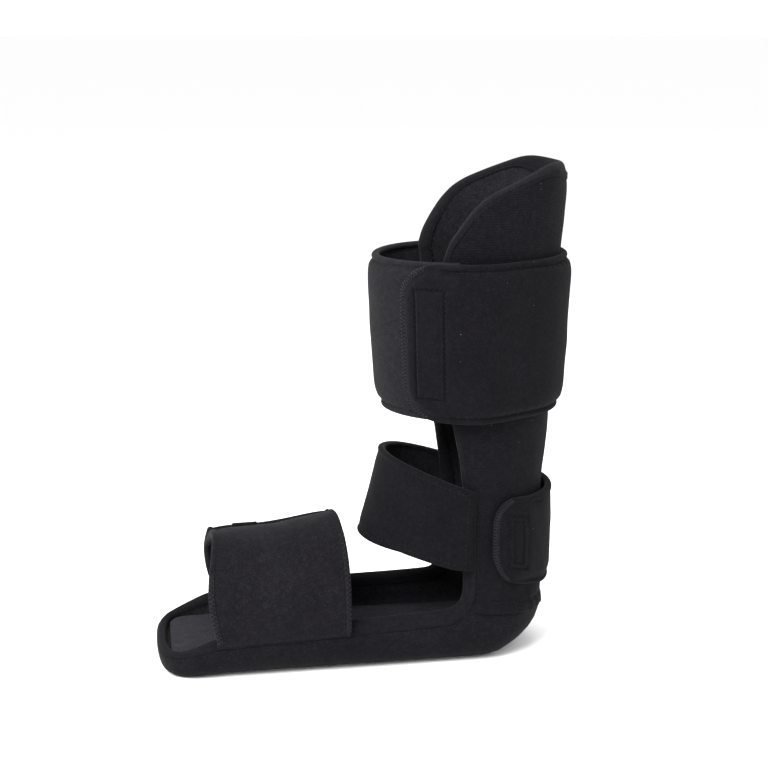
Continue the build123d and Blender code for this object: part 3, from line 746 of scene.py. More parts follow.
def calf_piece(name, th0, th1, kind):
    rm = 61.0
    length = abs(th1 - th0) * rm
    zs = edge_samples(100.0, FINE, 3.2)
    if kind == "near":
        us = np.concatenate([[0, 0.15, 0.5, 1.0, 1.6], np.arange(3, length - 22, 2.2), length - np.array(FINE[::-1])])
        tight = np.array([-1.7, -1.1, -0.75, -0.45, -0.2, 0, 0.2, 0.45, 0.75, 1.1, 1.7])
        us = np.unique(np.concatenate([us, length - np.arange(13, 30, 1.3), length - 12.6 - tight, length - 30.0 - tight]).round(4))
        zs = np.unique(np.concatenate([zs, 16.5 + tight, 83.5 + 1.0 + tight]).round(4))
    else:
        us = np.concatenate([[0, 0.15, 0.5, 1.0, 1.6], np.arange(3, length - 8, 2.2), length - np.array([7, 5, 3.5, 2.4, 1.6, 1.0, 0.5, 0.15, 0])])
        us = np.unique(us.round(4))
    un = us / length
    S, Zr = np.meshgrid(un, zs, indexing="ij")
    dz = np.minimum(Zr, 100 - Zr)
    rx, rz = 27.0, 22.0
    if kind == "near":
        k = np.clip((rz - dz) / rz, 0, 1)
        lim = rx * (1 - np.sqrt(1 - k * k))
        th_end = th1 - np.sign(th1 - th0) * lim / rm
    else:
        lim = 0 * dz
        th_end = th1 + 0 * dz
    TH = th0 + (th_end - th0) * S
    p_end = np.abs(th1 - TH) * rm                      # distance from the end line
    # distance to the rounded outline
    if kind == "near":
        kx = np.clip((rx - p_end) / rx, 0, None)
        kz = np.clip((rz - dz) / rz, 0, None)
        r = np.sqrt(kx ** 2 + kz ** 2)
        e_round = (1 - r) * (rz * (kz + 1e-6) + rx * (kx + 1e-6)) / (kx + kz + 2e-6)
        e_end = np.where((kx > 0) & (kz > 0), np.maximum(e_round, 0), p_end)
    else:
        e_end = p_end
    zpos = 161.5 + Zr + calf_edge_wave(TH, Zr, True) * (2 * np.abs(Zr - 50) / 100) * np.sign(Zr - 50) * 0.6
    e_start = np.abs(TH - th0) * rm
    # thickness: rolled top and bottom edges, padded body
    t = rolled(dz, 6.2, 4.9, 4.4, 3.0, 3.6)
    P0, N0 = calf_pt(TH, zpos, 0.0)
    if kind == "near":
        fade = smooth((p_end - 22) / 12.0)
        flat = thin_edge(np.minimum(e_end, dz), 3.0, 5.4, 4.6)
        t = t * fade + flat * (1 - fade)
        t = np.where(e_end < 1.3, np.minimum(t, flat), t)
        deg = np.degrees(np.abs(TH))
        base = 7.6 * smooth((deg - 64.0) / 34.0)
        ee = np.minimum(e_end, dz)
        base = base - 1.35 * (1 - smooth((ee - 1.0) / 7.0)) * (1 - smooth((p_end - 22) / 22.0))
        # stitched patch outline
        px, pz = p_end, Zr
        inx = np.minimum(px - 12.6, 30.0 - px)
        inz = np.minimum(pz - 16.5, 84.5 - pz)
        r_in = np.minimum(inx, inz)
        groove = np.exp(-((r_in) / 0.75) ** 2) + 0.45 * np.exp(-((r_in - 2.9) / 0.7) ** 2) * (r_in > 0)
        t_out = -1.35 * groove + 0.5 * smooth(r_in / 1.6)
    else:
        base = 0 * TH
        t_out = 0
        t = t * np.where(p_end < 30, 0.8 + 0.2 * smooth((p_end - 2) / 22), 1.0)
        t = np.minimum(t, 6.4 * np.sqrt(np.clip(1 - (1 - np.clip(p_end / 2.0, 0, 1)) ** 2, 0, 1)))
    start = np.sqrt(np.clip(1 - (1 - np.clip(e_start / 1.6, 0, 1)) ** 2, 0, 1))
    t = t * start
    mid = base + 1.7 + 1.2 * smooth((dz - 3.4) / 4.0)
    if kind == "near":
        mid = mid - (mid - base - np.maximum(t, 0.5) / 2) * smooth((np.degrees(np.abs(TH)) - 96) / 14)
    big = 0.42 * wob(P0, 30, 31 if kind == "near" else 37, 2) + 0.12 * wob(P0, 8, 33, 1)
    pucker = 0.28 * np.sin(TH * rm / 1.15 + 2.5 * wob(P0, 30, 35, 1)) * np.exp(-((dz - 6.2) / 2.2) ** 2)
    rise = (big + pucker) * smooth(dz / 3.0) * smooth(e_end / 3.0) * smooth(e_start / 3.0)
    plump = 1.6 * (1 - np.exp(-np.clip(dz - 5.4, 0, None) / 3.4)) * smooth(e_start / 3.0)
    if kind == "near":
        plump = plump * (0.35 + 0.65 * smooth((p_end - 12) / 26.0))
    else:
        plump = plump * (0.2 + 0.8 * smooth((p_end - 30) / 14.0))
    ho = mid + t / 2 + (rise + t_out + plump) * (t > 0.3)
    hi = mid - t / 2
    brd = np.ones_like(t)
    brd[0] = brd[-1] = 0
    brd[:, 0] = brd[:, -1] = 0
    ho = mid + (ho - mid) * brd
    hi = mid + (hi - mid) * brd
    out, _ = calf_pt(TH, zpos, ho)
    inn, _ = calf_pt(TH, zpos, hi)
    # the far flap takes the lighter loop copy, painted light for its lit front-left
    ob = slab(name, out, inn, [LOOP if kind == "near" else LOOP_FAR_LIT, LINING])
    return ob, dict(TH=TH, Z=zpos, out=out, N=N0, inn=inn, p_end=p_end, dz=dz, Zr=Zr, us=us, zs=zs, rm=rm)


def blend_near(ob):
    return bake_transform(ob)


def blend_far(ob):
    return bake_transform(ob)


calf_near, CN = calf_piece("calf_wrap_near_soft", rad(0.6), rad(-141.4), "near")
blend_near(calf_near)
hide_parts("calf_outer_flap", "calf_wrap_back")
calf_far, CF = calf_piece("calf_wrap_far_soft", rad(-0.6), rad(254.0), "far")
blend_far(calf_far)
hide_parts("calf_inner_flap")


def row_at(grid, col_value, values, trim0=2, trim1=2, sink=0.0):
    """Points and normals of the outer grid along one strip coordinate."""
    j = int(np.argmin(np.abs(values - col_value)))
    pts = grid["out"][trim0:-trim1, j]
    nr = grid["N"][trim0:-trim1, j]
    return pts - nr * sink, nr


n1 = np.argmax(CN["p_end"][:, len(CN["zs"]) // 2] < 27)
rows = []
for e in (5.1, 94.9):
    j = int(np.argmin(np.abs(CN["zs"] - e)))
    rows.append((CN["out"][3:n1, j], CN["N"][3:n1, j]))


def patch_rows(grid, x0, x1, z0, z1, key="p_end"):
    """Closed rectangle of stitches in strip coordinates (distance from the end, height)."""
    loop = []
    for a, b in (((x0, z0), (x0, z1)), ((x0, z1), (x1, z1)), ((x1, z1), (x1, z0)), ((x1, z0), (x0, z0))):
        n = 40
        loop += [(a[0] + (b[0] - a[0]) * t / n, a[1] + (b[1] - a[1]) * t / n) for t in range(n)]
    loop.append(loop[0])
    pts, nr = [], []
    mid = len(grid["zs"]) // 2
    for x, z in loop:
        j = int(np.argmin(np.abs(grid["zs"] - z)))
        prof = grid[key][:, j]
        o = np.argsort(prof)
        P = [np.interp(x, prof[o], grid["out"][o, j, k]) for k in range(3)]
        N = [np.interp(x, prof[o], grid["N"][o, j, k]) for k in range(3)]
        P[2] = float(np.interp(z, grid["zs"], grid["out"][int(o[np.searchsorted(prof[o], x).clip(0, len(o) - 1)]), :, 2]))
        pts.append(P); nr.append(N)
    pts, nr = np.array(pts), np.array(nr)
    return pts, nr


rows.append(patch_rows(CN, 12.6, 30.0, 16.5, 84.5))
st = stitches("calf_near_stitching", rows, THREAD)
blend_near(st)
rows = []
for e in (5.1, 94.9):
    j = int(np.argmin(np.abs(CF["zs"] - e)))
    rows.append((CF["out"][3:-4, j], CF["N"][3:-4, j]))
st = stitches("calf_far_stitching", rows, THREAD)
blend_far(st)


def surf(G, U, z, key="out"):
    """Point and normal on a wrap piece at distance U from its start and height z across the strip."""
    zs, Ug = G["zs"], G["U"]
    j = int(np.clip(np.searchsorted(zs, z) - 1, 0, len(zs) - 2))
    k = float(np.clip((z - zs[j]) / (zs[j + 1] - zs[j]), 0, 1))
    P, N = np.zeros(3), np.zeros(3)
    for jj, w in ((j, 1 - k), (j + 1, k)):
        col = Ug[:, jj]
        P += w * np.array([np.interp(U, col, G[key][:, jj, c]) for c in range(3)])
        N += w * np.array([np.interp(U, col, G["N"][:, jj, c]) for c in range(3)])
    return P, N / np.linalg.norm(N)


def overlock(name, G, width, pitch, r, mat, ring=None, inward=None):
    """Overlock threads lying on the face and going round the cut edge, leaning to and fro."""
    zs, Ug = G["zs"], G["U"]
    if ring is None:
        ring = np.stack([Ug[-1, 1:-1], zs[1:-1]], -1)
    q, t = resample(ring, pitch)
    tau = np.gradient(q, axis=0)
    tau /= np.linalg.norm(tau, axis=1, keepdims=True)
    m = np.stack([tau[:, 1], -tau[:, 0]], -1)
    if inward is None:
        m *= np.sign((m * (np.array([q[:, 0].min() - 20, zs.mean()]) - q)).sum(1, keepdims=True))
    else:
        m = np.repeat(np.array([inward], float), len(q), 0)
    paths, radii = [], []
    wid = width * (0.45 + 0.55 * np.abs(tau[:, 1])) if inward is None else np.full(len(q), width)
    for i in range(len(q)):
        if inward is None and abs(tau[i, 1]) < 0.3:
            continue
        width = float(wid[i])
        lean = pitch * 0.42 * (1 if i % 2 else -1)
        pts, ups = [], []
        for d, f in ((width, 1.0), (width * 0.72, 0.45), (width * 0.45, -0.1), (1.3, -0.6), (0.55, -0.85), (0.12, -1.0)):
            u, z = q[i] + m[i] * d + tau[i] * lean * f
            P, N = surf(G, u, z)
            pts.append(P + N * 0.13)
            ups.append(N)
        P, N = surf(G, q[i][0], q[i][1])
        P2, _ = surf(G, *(q[i] + m[i] * 1.6), key="inn")
        out2 = P - surf(G, *(q[i] + m[i] * 2.0))[0]
        out2 -= N * (out2 @ N)
        out2 /= np.linalg.norm(out2)
        pts.append(P + out2 * 0.2)
        pts.append(P2 - N * 0.05)
        paths.append((np.array(pts), N))
        radii.append(r)
    # chain line along the inner ends
    for i in range(0, len(q) - 2, 2):
        if inward is None and abs(tau[i + 1, 1]) < 0.3:
            continue
        pts = []
        for k in (i, i + 1, i + 2):
            P, N = surf(G, *(q[k] + m[k] * (float(wid[k]) + 0.1)))
            pts.append(P + N * 0.12)
        paths.append((np.array(pts), N))
        radii.append(r * 0.9)
    return tube_bits(name, paths, radii, mat)


def lining(name, G, e, u0, u1, nodes, body_blend, proud=0.3):
    """Skin side lining sewn inside the turned edges, following the inner face."""
    zs = G["zs"]
    js = [j for j in range(len(zs)) if e <= zs[j] <= zs[-1] - e]
    n = 90
    A = np.zeros((n, len(js), 3))
    B = np.zeros_like(A)
    for b_, j in enumerate(js):
        col = G["U"][:, j]
        us = np.linspace(u0, col[-1] - u1, n)
        P = np.stack([np.interp(us, col, G["inn"][:, j, c]) for c in range(3)], -1)
        N = np.stack([np.interp(us, col, G["N"][:, j, c]) for c in range(3)], -1)
        N /= np.linalg.norm(N, axis=1, keepdims=True)
        A[:, b_] = P + N * 0.5
        edge = min(b_, len(js) - 1 - b_) > 0
        ramp_ = np.minimum(1, np.minimum(np.arange(n), np.arange(n)[::-1]) / 1.0) * (1.0 if edge else 0.0)
        B[:, b_] = P + N * (0.5 - (0.5 + proud) * ramp_)[:, None]
    ob = slab(name, A, B, [LINING])
    body_blend(ob)
    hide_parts(*nodes)
    return ob


def hook_pad(name, G, e0, e1, z0, z1, length, node, body_blend, drop=0.9):
    """Hook fastener sewn to the inner face, following it."""
    us = length - np.linspace(e1, e0, 22)
    zl = np.linspace(z0, z1, 40)
    A, B = np.zeros((22, 40, 3)), np.zeros((22, 40, 3))
    for a_, u in enumerate(us):
        for b_, z in enumerate(zl):
            P, N = surf(G, u, z, "inn")
            brd = min(min(a_, 21 - a_) / 1.0, min(b_, 39 - b_) / 1.0, 1.0)
            A[a_, b_] = P + N * 0.15
            B[a_, b_] = P - N * (drop * brd - 0.15 * (1 - brd))
    B[0], B[-1], B[:, 0], B[:, -1] = A[0], A[-1], A[:, 0], A[:, -1]
    ob = slab(name, B, A, [HOOK])
    body_blend(ob)
    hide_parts(node)
    return ob


CN["U"] = np.abs(CN["TH"] - rad(0.6)) * CN["rm"]
ol = overlock("calf_outer_overlock", CN, 4.3, 1.15, 0.3, LOCK)
blend_near(ol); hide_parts("calf_outer_flap_edging")
CF["U"] = np.abs(CF["TH"] - rad(-0.6)) * CF["rm"]
lining("calf_lining_near", CN, 5.4, 1.0, 6.5, ["calf_outer_flap_lining", "calf_wrap_back_lining"], blend_near)
lining("calf_lining_far", CF, 5.4, 1.0, 4.0, ["calf_inner_flap_lining"], blend_far)
hook_pad("calf_hook_soft", CN, 12.0, 31.0, 15.5, 85.5, float(CN["us"][-1]), "calf_hook_patch", blend_near)

# ------------------------------------------------------------------ ankle strap
ZHI = np.array([(-62, 136.4), (-40, 129.0), (-6, 116.4), (16, 111.0), (30, 109.6), (44, 110.4), (53, 111.6)])
ZLO = np.array([(-78, 77.6), (-50, 74.5), (-20, 66.0), (-6, 63.6), (21.7, 52.8), (40, 47.5), (53, 46.0)])


def ankle_pt(th, v, off=None):
    ct, st = np.cos(th), np.sin(th)
    al = np.where(ct > 0, 47.6, 71.4)
    au = np.where(ct > 0, 47.2, 56.6)
    xl, xu = 2 + al * ct, 2 + au * ct
    zl = np.interp(xl, ZLO[:, 0], ZLO[:, 1])
    zu = np.interp(xu, ZHI[:, 0], ZHI[:, 1])
    return np.stack([xl + (xu - xl) * v, 47.2 * st + 0 * v, zl + (zu - zl) * v], -1)


def ankle_piece(name, th0, th1, kind):
    rm = 54.0
    length = abs(th1 - th0) * rm
    W = 55.0
    fine = [0, 0.12, 0.35, 0.7, 1.1, 1.6, 2.2, 2.8, 3.3, 3.7, 4.1, 4.6, 5.3, 6.4, 8.0, 10.5]
    ws = edge_samples(W, fine, 2.6)
    if kind == "tab":
        us = np.concatenate([[0, 0.15, 0.5, 1.0], np.arange(2.5, length - 20, 1.9), length - np.arange(11, 21, 1.1), length - np.array(fine[::-1])])
    else:
        us = np.concatenate([[0, 0.15, 0.5, 1.0], np.arange(2.0, length - 1.5, 1.6), length - np.array([1.0, 0.5, 0.15, 0])])
    us = np.unique(us.round(4))
    if kind == "tab":
        tight = np.array([-1.6, -1.0, -0.7, -0.4, -0.2, 0, 0.2, 0.4, 0.7, 1.0, 1.6])
        us = np.unique(np.concatenate([us] + [length - q - tight for q in (8.0, 21.0, 11.4, 17.6)]).round(4))
        ws = np.unique(np.concatenate([ws] + [q + tight for q in (11.0, 44.0, 14.4, 40.6)]).round(4))
    S, Wd = np.meshgrid(us / length, ws, indexing="ij")
    dw = np.minimum(Wd, W - Wd)
    rx = np.where(Wd > W / 2, 16.0, 13.5)
    rz = np.where(Wd > W / 2, 21.5, 18.0)
    if kind == "tab":
        k = np.clip((rz - dw) / rz, 0, 1)
        lim = rx * (1 - np.sqrt(1 - k * k))
    else:
        lim = 0 * dw
    sg = np.sign(th1 - th0)
    TH = th0 + (th1 - sg * lim / 47.0 - th0) * S
    p_end = np.abs(th1 - TH) * (47.0 if kind == "tab" else rm)
    P0 = ankle_pt(TH, Wd / W)
    radial = P0 - np.array([2, 0, 0])
    radial[..., 2] = 0
    N0 = normals(P0, radial)
    if kind == "tab":
        kx = np.clip((rx - p_end) / rx, 0, None)
        kz = np.clip((rz - dw) / rz, 0, None)
        r = np.sqrt(kx ** 2 + kz ** 2)
        e_round = (1 - r) * (rz * (kz + 1e-6) + rx * (kx + 1e-6)) / (kx + kz + 2e-6)
        e_end = np.where((kx > 0) & (kz > 0), np.maximum(e_round, 0), p_end)
    else:
        e_end = p_end
    t = rolled(dw, 4.3, 4.9, 3.6, 3.3)
    base = 0 * t
    t_out = 0
    e_start = np.abs(TH - th0) * rm
    if kind == "tab":
        fade = smooth((p_end - 20) / 12.0)
        flat = thin_edge(np.minimum(e_end, dw), 3.3, 4.7, 4.0)
        t = t * fade + flat * (1 - fade)
        t = np.where(e_end < 1.3, np.minimum(t, flat), t)
        ee = np.minimum(e_end, dw)
        base = base + 1.2 * smooth((75 - p_end) / 40) - 1.3 * (1 - smooth((ee - 0.8) / 7.0)) * (1 - smooth((p_end - 18) / 22.0))
        back = smooth((np.cos(TH) - 0.2) / 0.55)
        base = base - back * (1.0 * np.clip(1 - Wd / 16.0, 0, 1) ** 1.6 + 0.0 * np.clip(1 - (W - Wd) / 10.0, 0, 1) ** 1.6)
        t_out = 0
        inx = np.minimum(p_end - 8.0, 21.0 - p_end)
        inz = np.minimum(Wd - 11.0, 44.0 - Wd)
        r_in = np.minimum(inx, inz)
        groove = np.exp(-((r_in) / 0.8) ** 2) + 0.9 * np.exp(-((r_in - 3.4) / 0.75) ** 2) * (r_in > 0)
        t_out = -1.15 * groove + 0.35 * smooth(r_in / 1.5) - 1.3 * back * np.clip(1 - Wd / 9.0, 0, 1)
        t = t * np.sqrt(np.clip(1 - (1 - np.clip(e_start / 1.2, 0, 1)) ** 2, 0, 1))
    else:
        # sewn end: thins and drops on to the shell at the seam
        s = smooth(e_start / 10.0)
        t = t * (0.42 + 0.58 * s)
        base = base - 1.9 * (1 - s) - 3.0 * (1 - smooth(e_start / 3.2))
        t = t * np.sqrt(np.clip(1 - (1 - np.clip(e_start / 0.8, 0, 1)) ** 2, 0, 1))
        t = t * np.sqrt(np.clip(1 - (1 - np.clip(p_end / 1.2, 0, 1)) ** 2, 0, 1))
    big = 0.35 * wob(P0, 24, 41, 2) + 0.1 * wob(P0, 7, 42, 1)
    rise = big * smooth(dw / 3.0) * smooth(e_end / 3.0) * smooth(e_start / 6.0)
    mid = base + 2.1
    if kind == "tab":
        mid = base + 2.1 - (2.1 - np.maximum(t, 0.5) / 2) * smooth((60 - p_end) / 30)
    ho = mid + t / 2 + (rise + t_out) * (t > 0.3)
    hi = mid - t / 2
    brd = np.ones_like(t)
    brd[0] = brd[-1] = 0
    brd[:, 0] = brd[:, -1] = 0
    ho = mid + (ho - mid) * brd
    hi = mid + (hi - mid) * brd
    out = P0 + N0 * ho[..., None]
    inn = P0 + N0 * hi[..., None]
    ob = slab(name, out, inn, [LOOP, LINING])
    return ob, dict(TH=TH, out=out, inn=inn, N=N0, p_end=p_end, zs=ws, us=us, W=W)


def blend_front(ob):
    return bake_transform(ob)


def blend_tab(ob):
    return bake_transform(ob)


ankle_f, AF = ankle_piece("ankle_strap_front_soft", rad(-95.6), rad(-225.0), "front")
blend_front(ankle_f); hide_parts("ankle_front_strap", "ankle_strap_anchor")
ankle_t, AT = ankle_piece("ankle_strap_rear_soft", rad(135.6), rad(-84.9), "tab")
blend_tab(ankle_t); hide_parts("ankle_rear_tab")

rows = []
for e in (3.7, 55 - 3.7):
    j = int(np.argmin(np.abs(AF["zs"] - e)))
    rows.append((AF["out"][6:-3, j], AF["N"][6:-3, j]))
i0 = int(np.argmin(np.abs(AF["us"] - 6.0)))
rows.append((AF["out"][i0, 4:-4], AF["N"][i0, 4:-4]))
st = stitches("ankle_front_stitching", rows, THREAD, 2.9, 2.1, 0.24)
blend_front(st)
rows = []
nt1 = int(np.argmax(AT["p_end"][:, len(AT["zs"]) // 2] < 24))
for e in (3.7, 55 - 3.7):
    j = int(np.argmin(np.abs(AT["zs"] - e)))
    rows.append((AT["out"][3:nt1, j], AT["N"][3:nt1, j]))
rows.append(patch_rows(AT, 8.0, 21.0, 11.0, 44.0))
rows.append(patch_rows(AT, 11.4, 17.6, 14.4, 40.6))
st = stitches("ankle_tab_stitching", rows, THREAD, 2.9, 2.1, 0.24)
blend_tab(st)
AT["U"] = np.abs(AT["TH"] - rad(135.6)) * 54.0
ol = overlock("ankle_tab_overlock", AT, 2.9, 1.05, 0.27, LOCK)
blend_tab(ol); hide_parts("ankle_rear_tab_edging")
AF["U"] = np.abs(AF["TH"] - rad(-95.6)) * 54.0
lining("ankle_lining_front", AF, 4.4, 12.0, 1.5, ["ankle_front_lining"], blend_front, 0.2)
lining("ankle_lining_rear", AT, 4.4, 1.5, 5.0, ["ankle_rear_tab_lining"], blend_tab, 0.2)
hook_pad("ankle_hook_soft", AT, 7.0, 24.0, 10.0, 45.0, float(AT["us"][-1]), "ankle_hook_patch", blend_tab)

# ------------------------------------------------------------------ forefoot wrap


def arch(ph, x):
    k = np.clip((x + 168.0) / 80.5, -0.1, 1.1)
    w, h = 49.2, 59.5 + 10.0 * k
    c, s = np.cos(ph), np.sin(ph)
    y = w * np.sign(c) * np.abs(c) ** 0.62
    fall = 0.5 * (y + 4.0 + np.hypot(y + 4.0, 14.0)) - 6.0
    sag = 2.8 * np.sin(np.pi * np.clip(k, 0, 1)) ** 2 * np.abs(s) ** 2
    return np.stack([x + 0 * c, y, 20.0 + h * np.abs(s) ** 0.92 - 0.30 * fall * np.abs(s) ** 1.5 - sag], -1)


def fore_piece(name, ph0, ph1, kind, x0=-168.0, x1=-87.5, n=70):
    # angles chosen for even spacing along the arch
    pp = np.linspace(ph0, ph1, 400)
    ref = arch(pp, -128.0)
    seg = np.concatenate([[0], np.cumsum(np.linalg.norm(np.diff(ref, axis=0), axis=1))])
    length = seg[-1]
    s_list = np.concatenate([[0, 0.15, 0.5, 1.0, 1.8, 2.8, 4.0], np.arange(5.5, length - 3, length / n), length - np.array([2.2, 1.5, 1.0, 0.5, 0.15, 0])])
    s_list = np.unique(s_list.round(4))
    PH = np.interp(s_list, seg, pp)
    W = x1 - x0
    ws = edge_samples(W, FINE, 3.0)
    A, Wd = np.meshgrid(PH, ws, indexing="ij")
    Sd = np.repeat(s_list[:, None], len(ws), 1)
    side = np.abs(np.cos(A))
    xf = x0 - 4.6 * np.sin(np.pi * np.clip((1 - np.abs(np.sin(A))) * 1.15, 0, 1)) - 0.5
    if kind == "far":
        xf = xf + 1.6
    xr = x1 + 1.2 + 1.4 * smooth((side - 0.1) / 0.8) + 0.6 * np.sin(A * 3.0)
    X = xf + (xr - xf) * Wd / W
    P0 = arch(A, X)
    cen = np.array([-128.0, 0, 42.0])
    radial = P0 - cen
    radial[..., 0] = 0
    N0 = normals(P0, radial)
    dw = np.minimum(Wd, W - Wd)
    e_end = length - Sd
    t = rolled(dw, 5.2, 5.9, 4.2, 3.9)
    base = 0 * t
    # sewn lower edge: thin, close to the tray, following the seam's slope
    s = smooth(Sd / 12.0)
    t = t * (0.28 + 0.72 * s)
    if kind == "far":
        deg = np.degrees(A)
        base = 6.6 * smooth((deg - 14) / 26)
    base = base - 0.9 * (1 - s) - 2.7 * (1 - smooth(Sd / 4.5))
    t = t * np.sqrt(np.clip(1 - (1 - np.clip(Sd / 0.7, 0, 1)) ** 2, 0, 1))
    endr = 1.6
    if kind == "near":
        t = t * (0.62 + 0.38 * smooth(e_end / 16))
    t = t * np.sqrt(np.clip(1 - (1 - np.clip(e_end / endr, 0, 1)) ** 2, 0, 1))
    drop = 2.6 * np.exp(-Sd / 9.0) * (1 - (X + 168) / 80.0)
    P0 = P0 - np.stack([0 * drop, 0 * drop, drop], -1)
    big = 0.5 * wob(P0, 30, 51 if kind == "near" else 55, 2) + 0.13 * wob(P0, 8, 52, 1)
    # soft cross creases where the strap bends over the top of the foot
    big = big + 0.35 * np.sin(X / 5.2 + 2.4 * wob(P0, 34, 57, 1)) * smooth((np.abs(np.sin(A)) - 0.45) / 0.4)
    rise = big * smooth(dw / 3.0) * smooth(e_end / 4.0) * smooth(Sd / 6.0)
    mid = base + 2.5
    ho = mid + t / 2 + rise * (t > 0.3)
    hi = mid - t / 2
    brd = np.ones_like(t)
    brd[0] = brd[-1] = 0
    brd[:, 0] = brd[:, -1] = 0
    ho = mid + (ho - mid) * brd
    hi = mid + (hi - mid) * brd
    out = P0 + N0 * ho[..., None]
    inn = P0 + N0 * hi[..., None]
    ob = slab(name, out, inn, [LOOP_FORE, LINING])
    return ob, dict(out=out, inn=inn, N=N0, zs=ws, W=W, s=s_list, U=Sd)


def blend_fn(ob):
    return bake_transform(ob)


def blend_ff(ob):
    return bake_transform(ob)


fore_n, FN = fore_piece("forefoot_near_soft", rad(176.5), rad(52.0), "near")
blend_fn(fore_n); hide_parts("forefoot_near_panel")
fore_f, FF = fore_piece("forefoot_far_soft", rad(3.5), rad(62.0), "far", n=34)
blend_ff(fore_f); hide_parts("forefoot_far_panel")
for grid, nm, bl in ((FN, "forefoot_near_stitching", blend_fn), (FF, "forefoot_far_stitching", blend_ff)):
    rows = []
    for e in (4.7, grid["W"] - 4.7):
        j = int(np.argmin(np.abs(grid["zs"] - e)))
        rows.append((grid["out"][4:-4, j], grid["N"][4:-4, j]))
    i0 = int(np.argmin(np.abs(grid["s"] - 2.8)))
    rows.append((grid["out"][i0, 3:-3], grid["N"][i0, 3:-3]))
    st = stitches(nm, rows, THREAD)
    bl(st)

lining("forefoot_lining_near", FN, 5.4, 13.0, 4.0, ["forefoot_near_lining"], blend_fn, 0.25)
lining("forefoot_lining_far", FF, 5.4, 13.0, 2.5, ["forefoot_far_lining"], blend_ff, 0.25)
for nm, z0, inw, u1 in (("forefoot_front_overlock", 0.25, (0, 1), 44.0), ("forefoot_rear_overlock", FN["W"] - 0.25, (0, -1), 60.0)):
    line = np.stack([np.linspace(4.0, u1, 60), np.full(60, z0)], -1)
    ol = overlock(nm, FN, 2.6, 1.3, 0.27, LOCK, line, inw)
    blend_fn(ol)
hook_pad("forefoot_hook_soft", FF, 2.5, 16.0, 8.0, 73.0, float(FF["s"][-1]), "forefoot_hook_patch", blend_ff, 0.8)

# pull tab on the crest
ph = np.radians(np.linspace(60.0, 80.0, 26))
xs = edge_samples(17.0, [0, 0.15, 0.4, 0.8, 1.3, 2.0, 3.0], 1.5)
A, Xd = np.meshgrid(ph, xs, indexing="ij")
P0 = arch(A, -154.0 + Xd)
radial = P0 - np.array([-128.0, 0, 42.0])
radial[..., 0] = 0
N0 = normals(P0, radial)
e = np.minimum(np.minimum(Xd, 17 - Xd), np.degrees(np.abs(ph[-1] - A)) * 1.05)
t = 2.3 * np.sqrt(np.clip(1 - (1 - np.clip(e / 1.2, 0, 1)) ** 2, 0, 1)) * np.where(A == ph[0], 0, 1)
ob = slab("forefoot_tab_soft", P0 + N0 * (6.9 + t / 2 - 0.35 * np.exp(-((e - 2.4) / 0.5) ** 2) * (t > 1))[..., None], P0 + N0 * (6.9 - t / 2)[..., None], [LOOP_FORE, LINING])
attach(ob, "forefoot_far"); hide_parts("forefoot_pull_tab")

# ------------------------------------------------------------------ seams of the trough
rows = []
q = (RH + 0.9)[:, None]
line = band_pts(q, np.full((n_r, 1), -0.35))[:, 0]
low = np.where(RP[:, 2] < 112)[0]
cut = int(np.where(np.diff(low) > 1)[0][0]) if (np.diff(low) > 1).any() else len(low) - 1
rows.append((line[low[:cut + 1]], RN[low[:cut + 1]]))
if cut + 1 < len(low):
    rows.append((line[low[cut + 1:]], RN[low[cut + 1:]]))
st = stitches("edge_band_stitching", rows, THREAD, 3.2, 2.3, 0.24)
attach(st, "trough")
rows = []
qi = (RH + 0.3)[:, None]
line = band_pts(qi, (RWALL + 0.15)[:, None])[:, 0]
rows.append((np.vstack([line, line[:1]]), -np.vstack([RN, RN[:1]])))
st = stitches("edge_band_inner_stitching", rows, THREAD, 3.2, 2.3, 0.24)
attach(st, "trough")
k = int(np.argmin(np.abs((LZ - LZB[:, None])[90] - 7.9)))
st = stitches("hem_stitching", [(LC[8:-8, k], LN[8:-8, k])], THREAD, 3.0, 2.2, 0.24)
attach(st, "trough")

# ------------------------------------------------------------------ carried-over CAD nodes
for node, mat in (("support_splint", ALU),):
    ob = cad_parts[node]
    if len(ob.material_slots) == 0:
        ob.data.materials.append(mat)
    for s_ in ob.material_slots:
        s_.link = "OBJECT"
        s_.material = mat

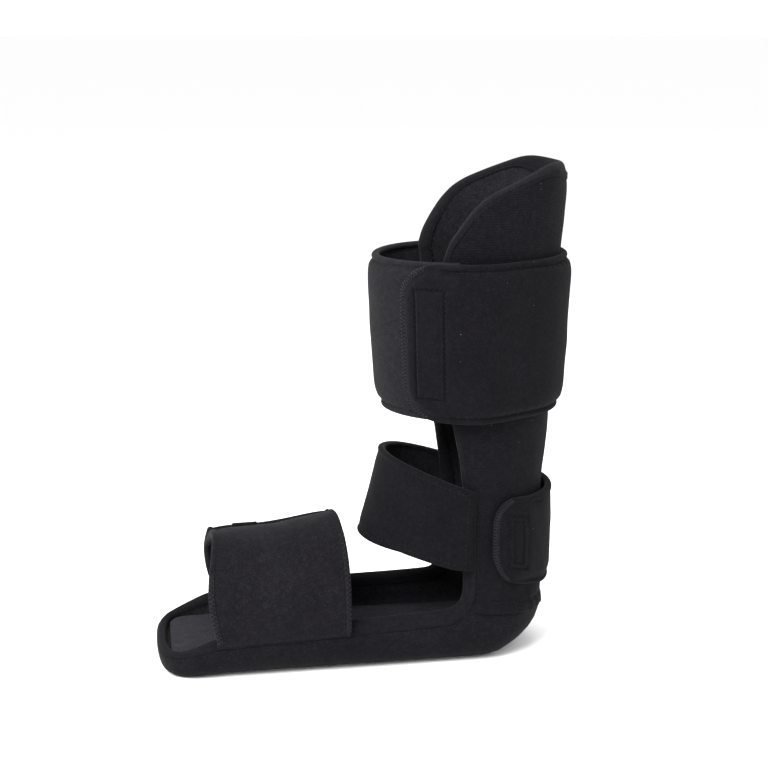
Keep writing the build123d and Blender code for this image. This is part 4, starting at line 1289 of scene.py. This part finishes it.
# ------------------------------------------------------------------ stage, light, camera
me = bpy.data.meshes.new("floor")
s_ = 60.0
me.from_pydata([(-s_, -s_, 0), (s_, -s_, 0), (s_, s_, 0), (-s_, s_, 0)], [], [(0, 1, 2, 3)])
floor = bpy.data.objects.new("floor", me)
floor.location = (0, 0, -0.0002)
bpy.context.scene.collection.objects.link(floor)
fm = bpy.data.materials.new("floor")
fm.use_nodes = True
fb = fm.node_tree.nodes["Principled BSDF"]
fb.inputs["Base Color"].default_value = (0.93, 0.93, 0.93, 1)
fb.inputs["Roughness"].default_value = 0.85
me.materials.append(fm)

world = bpy.data.worlds.new("world")
bpy.context.scene.world = world
world.use_nodes = True
world.node_tree.nodes["Background"].inputs["Color"].default_value = (1, 1, 1, 1)
world.node_tree.nodes["Background"].inputs["Strength"].default_value = 1.05


def area(name, loc, target, size, energy):
    li = bpy.data.lights.new(name, "AREA")
    li.shape = "SQUARE"
    li.size = size
    li.energy = energy
    ob = bpy.data.objects.new(name, li)
    ob.location = loc
    ob.rotation_mode = "QUATERNION"
    ob.rotation_quaternion = (Vector(target) - Vector(loc)).to_track_quat("-Z", "Y")
    bpy.context.scene.collection.objects.link(ob)


area("key", (-0.85, -0.9, 1.2), (-0.05, 0, 0.15), 0.8, 44)
area("fill", (0.95, -0.75, 0.7), (0, 0, 0.15), 1.2, 4)
area("top", (-0.05, 0.35, 1.5), (-0.05, 0, 0.1), 1.0, 12)

cam = bpy.data.cameras.new("camera")
cam.sensor_width = 36.0
cam.lens = 73.2
co_ = bpy.data.objects.new("camera", cam)
target = Vector((-0.056, 0.0, 0.1766))
az, el = rad(-9.0), rad(13.0)
back = Vector((math.sin(az) * math.cos(el), -math.cos(az) * math.cos(el), math.sin(el)))
co_.location = target + back * 1.0
co_.rotation_mode = "QUATERNION"
co_.rotation_quaternion = (-back).to_track_quat("-Z", "Y")
cam.clip_start, cam.clip_end = 0.01, 50
bpy.context.scene.collection.objects.link(co_)
bpy.context.scene.camera = co_
bpy.context.scene.view_settings.view_transform = "Standard"
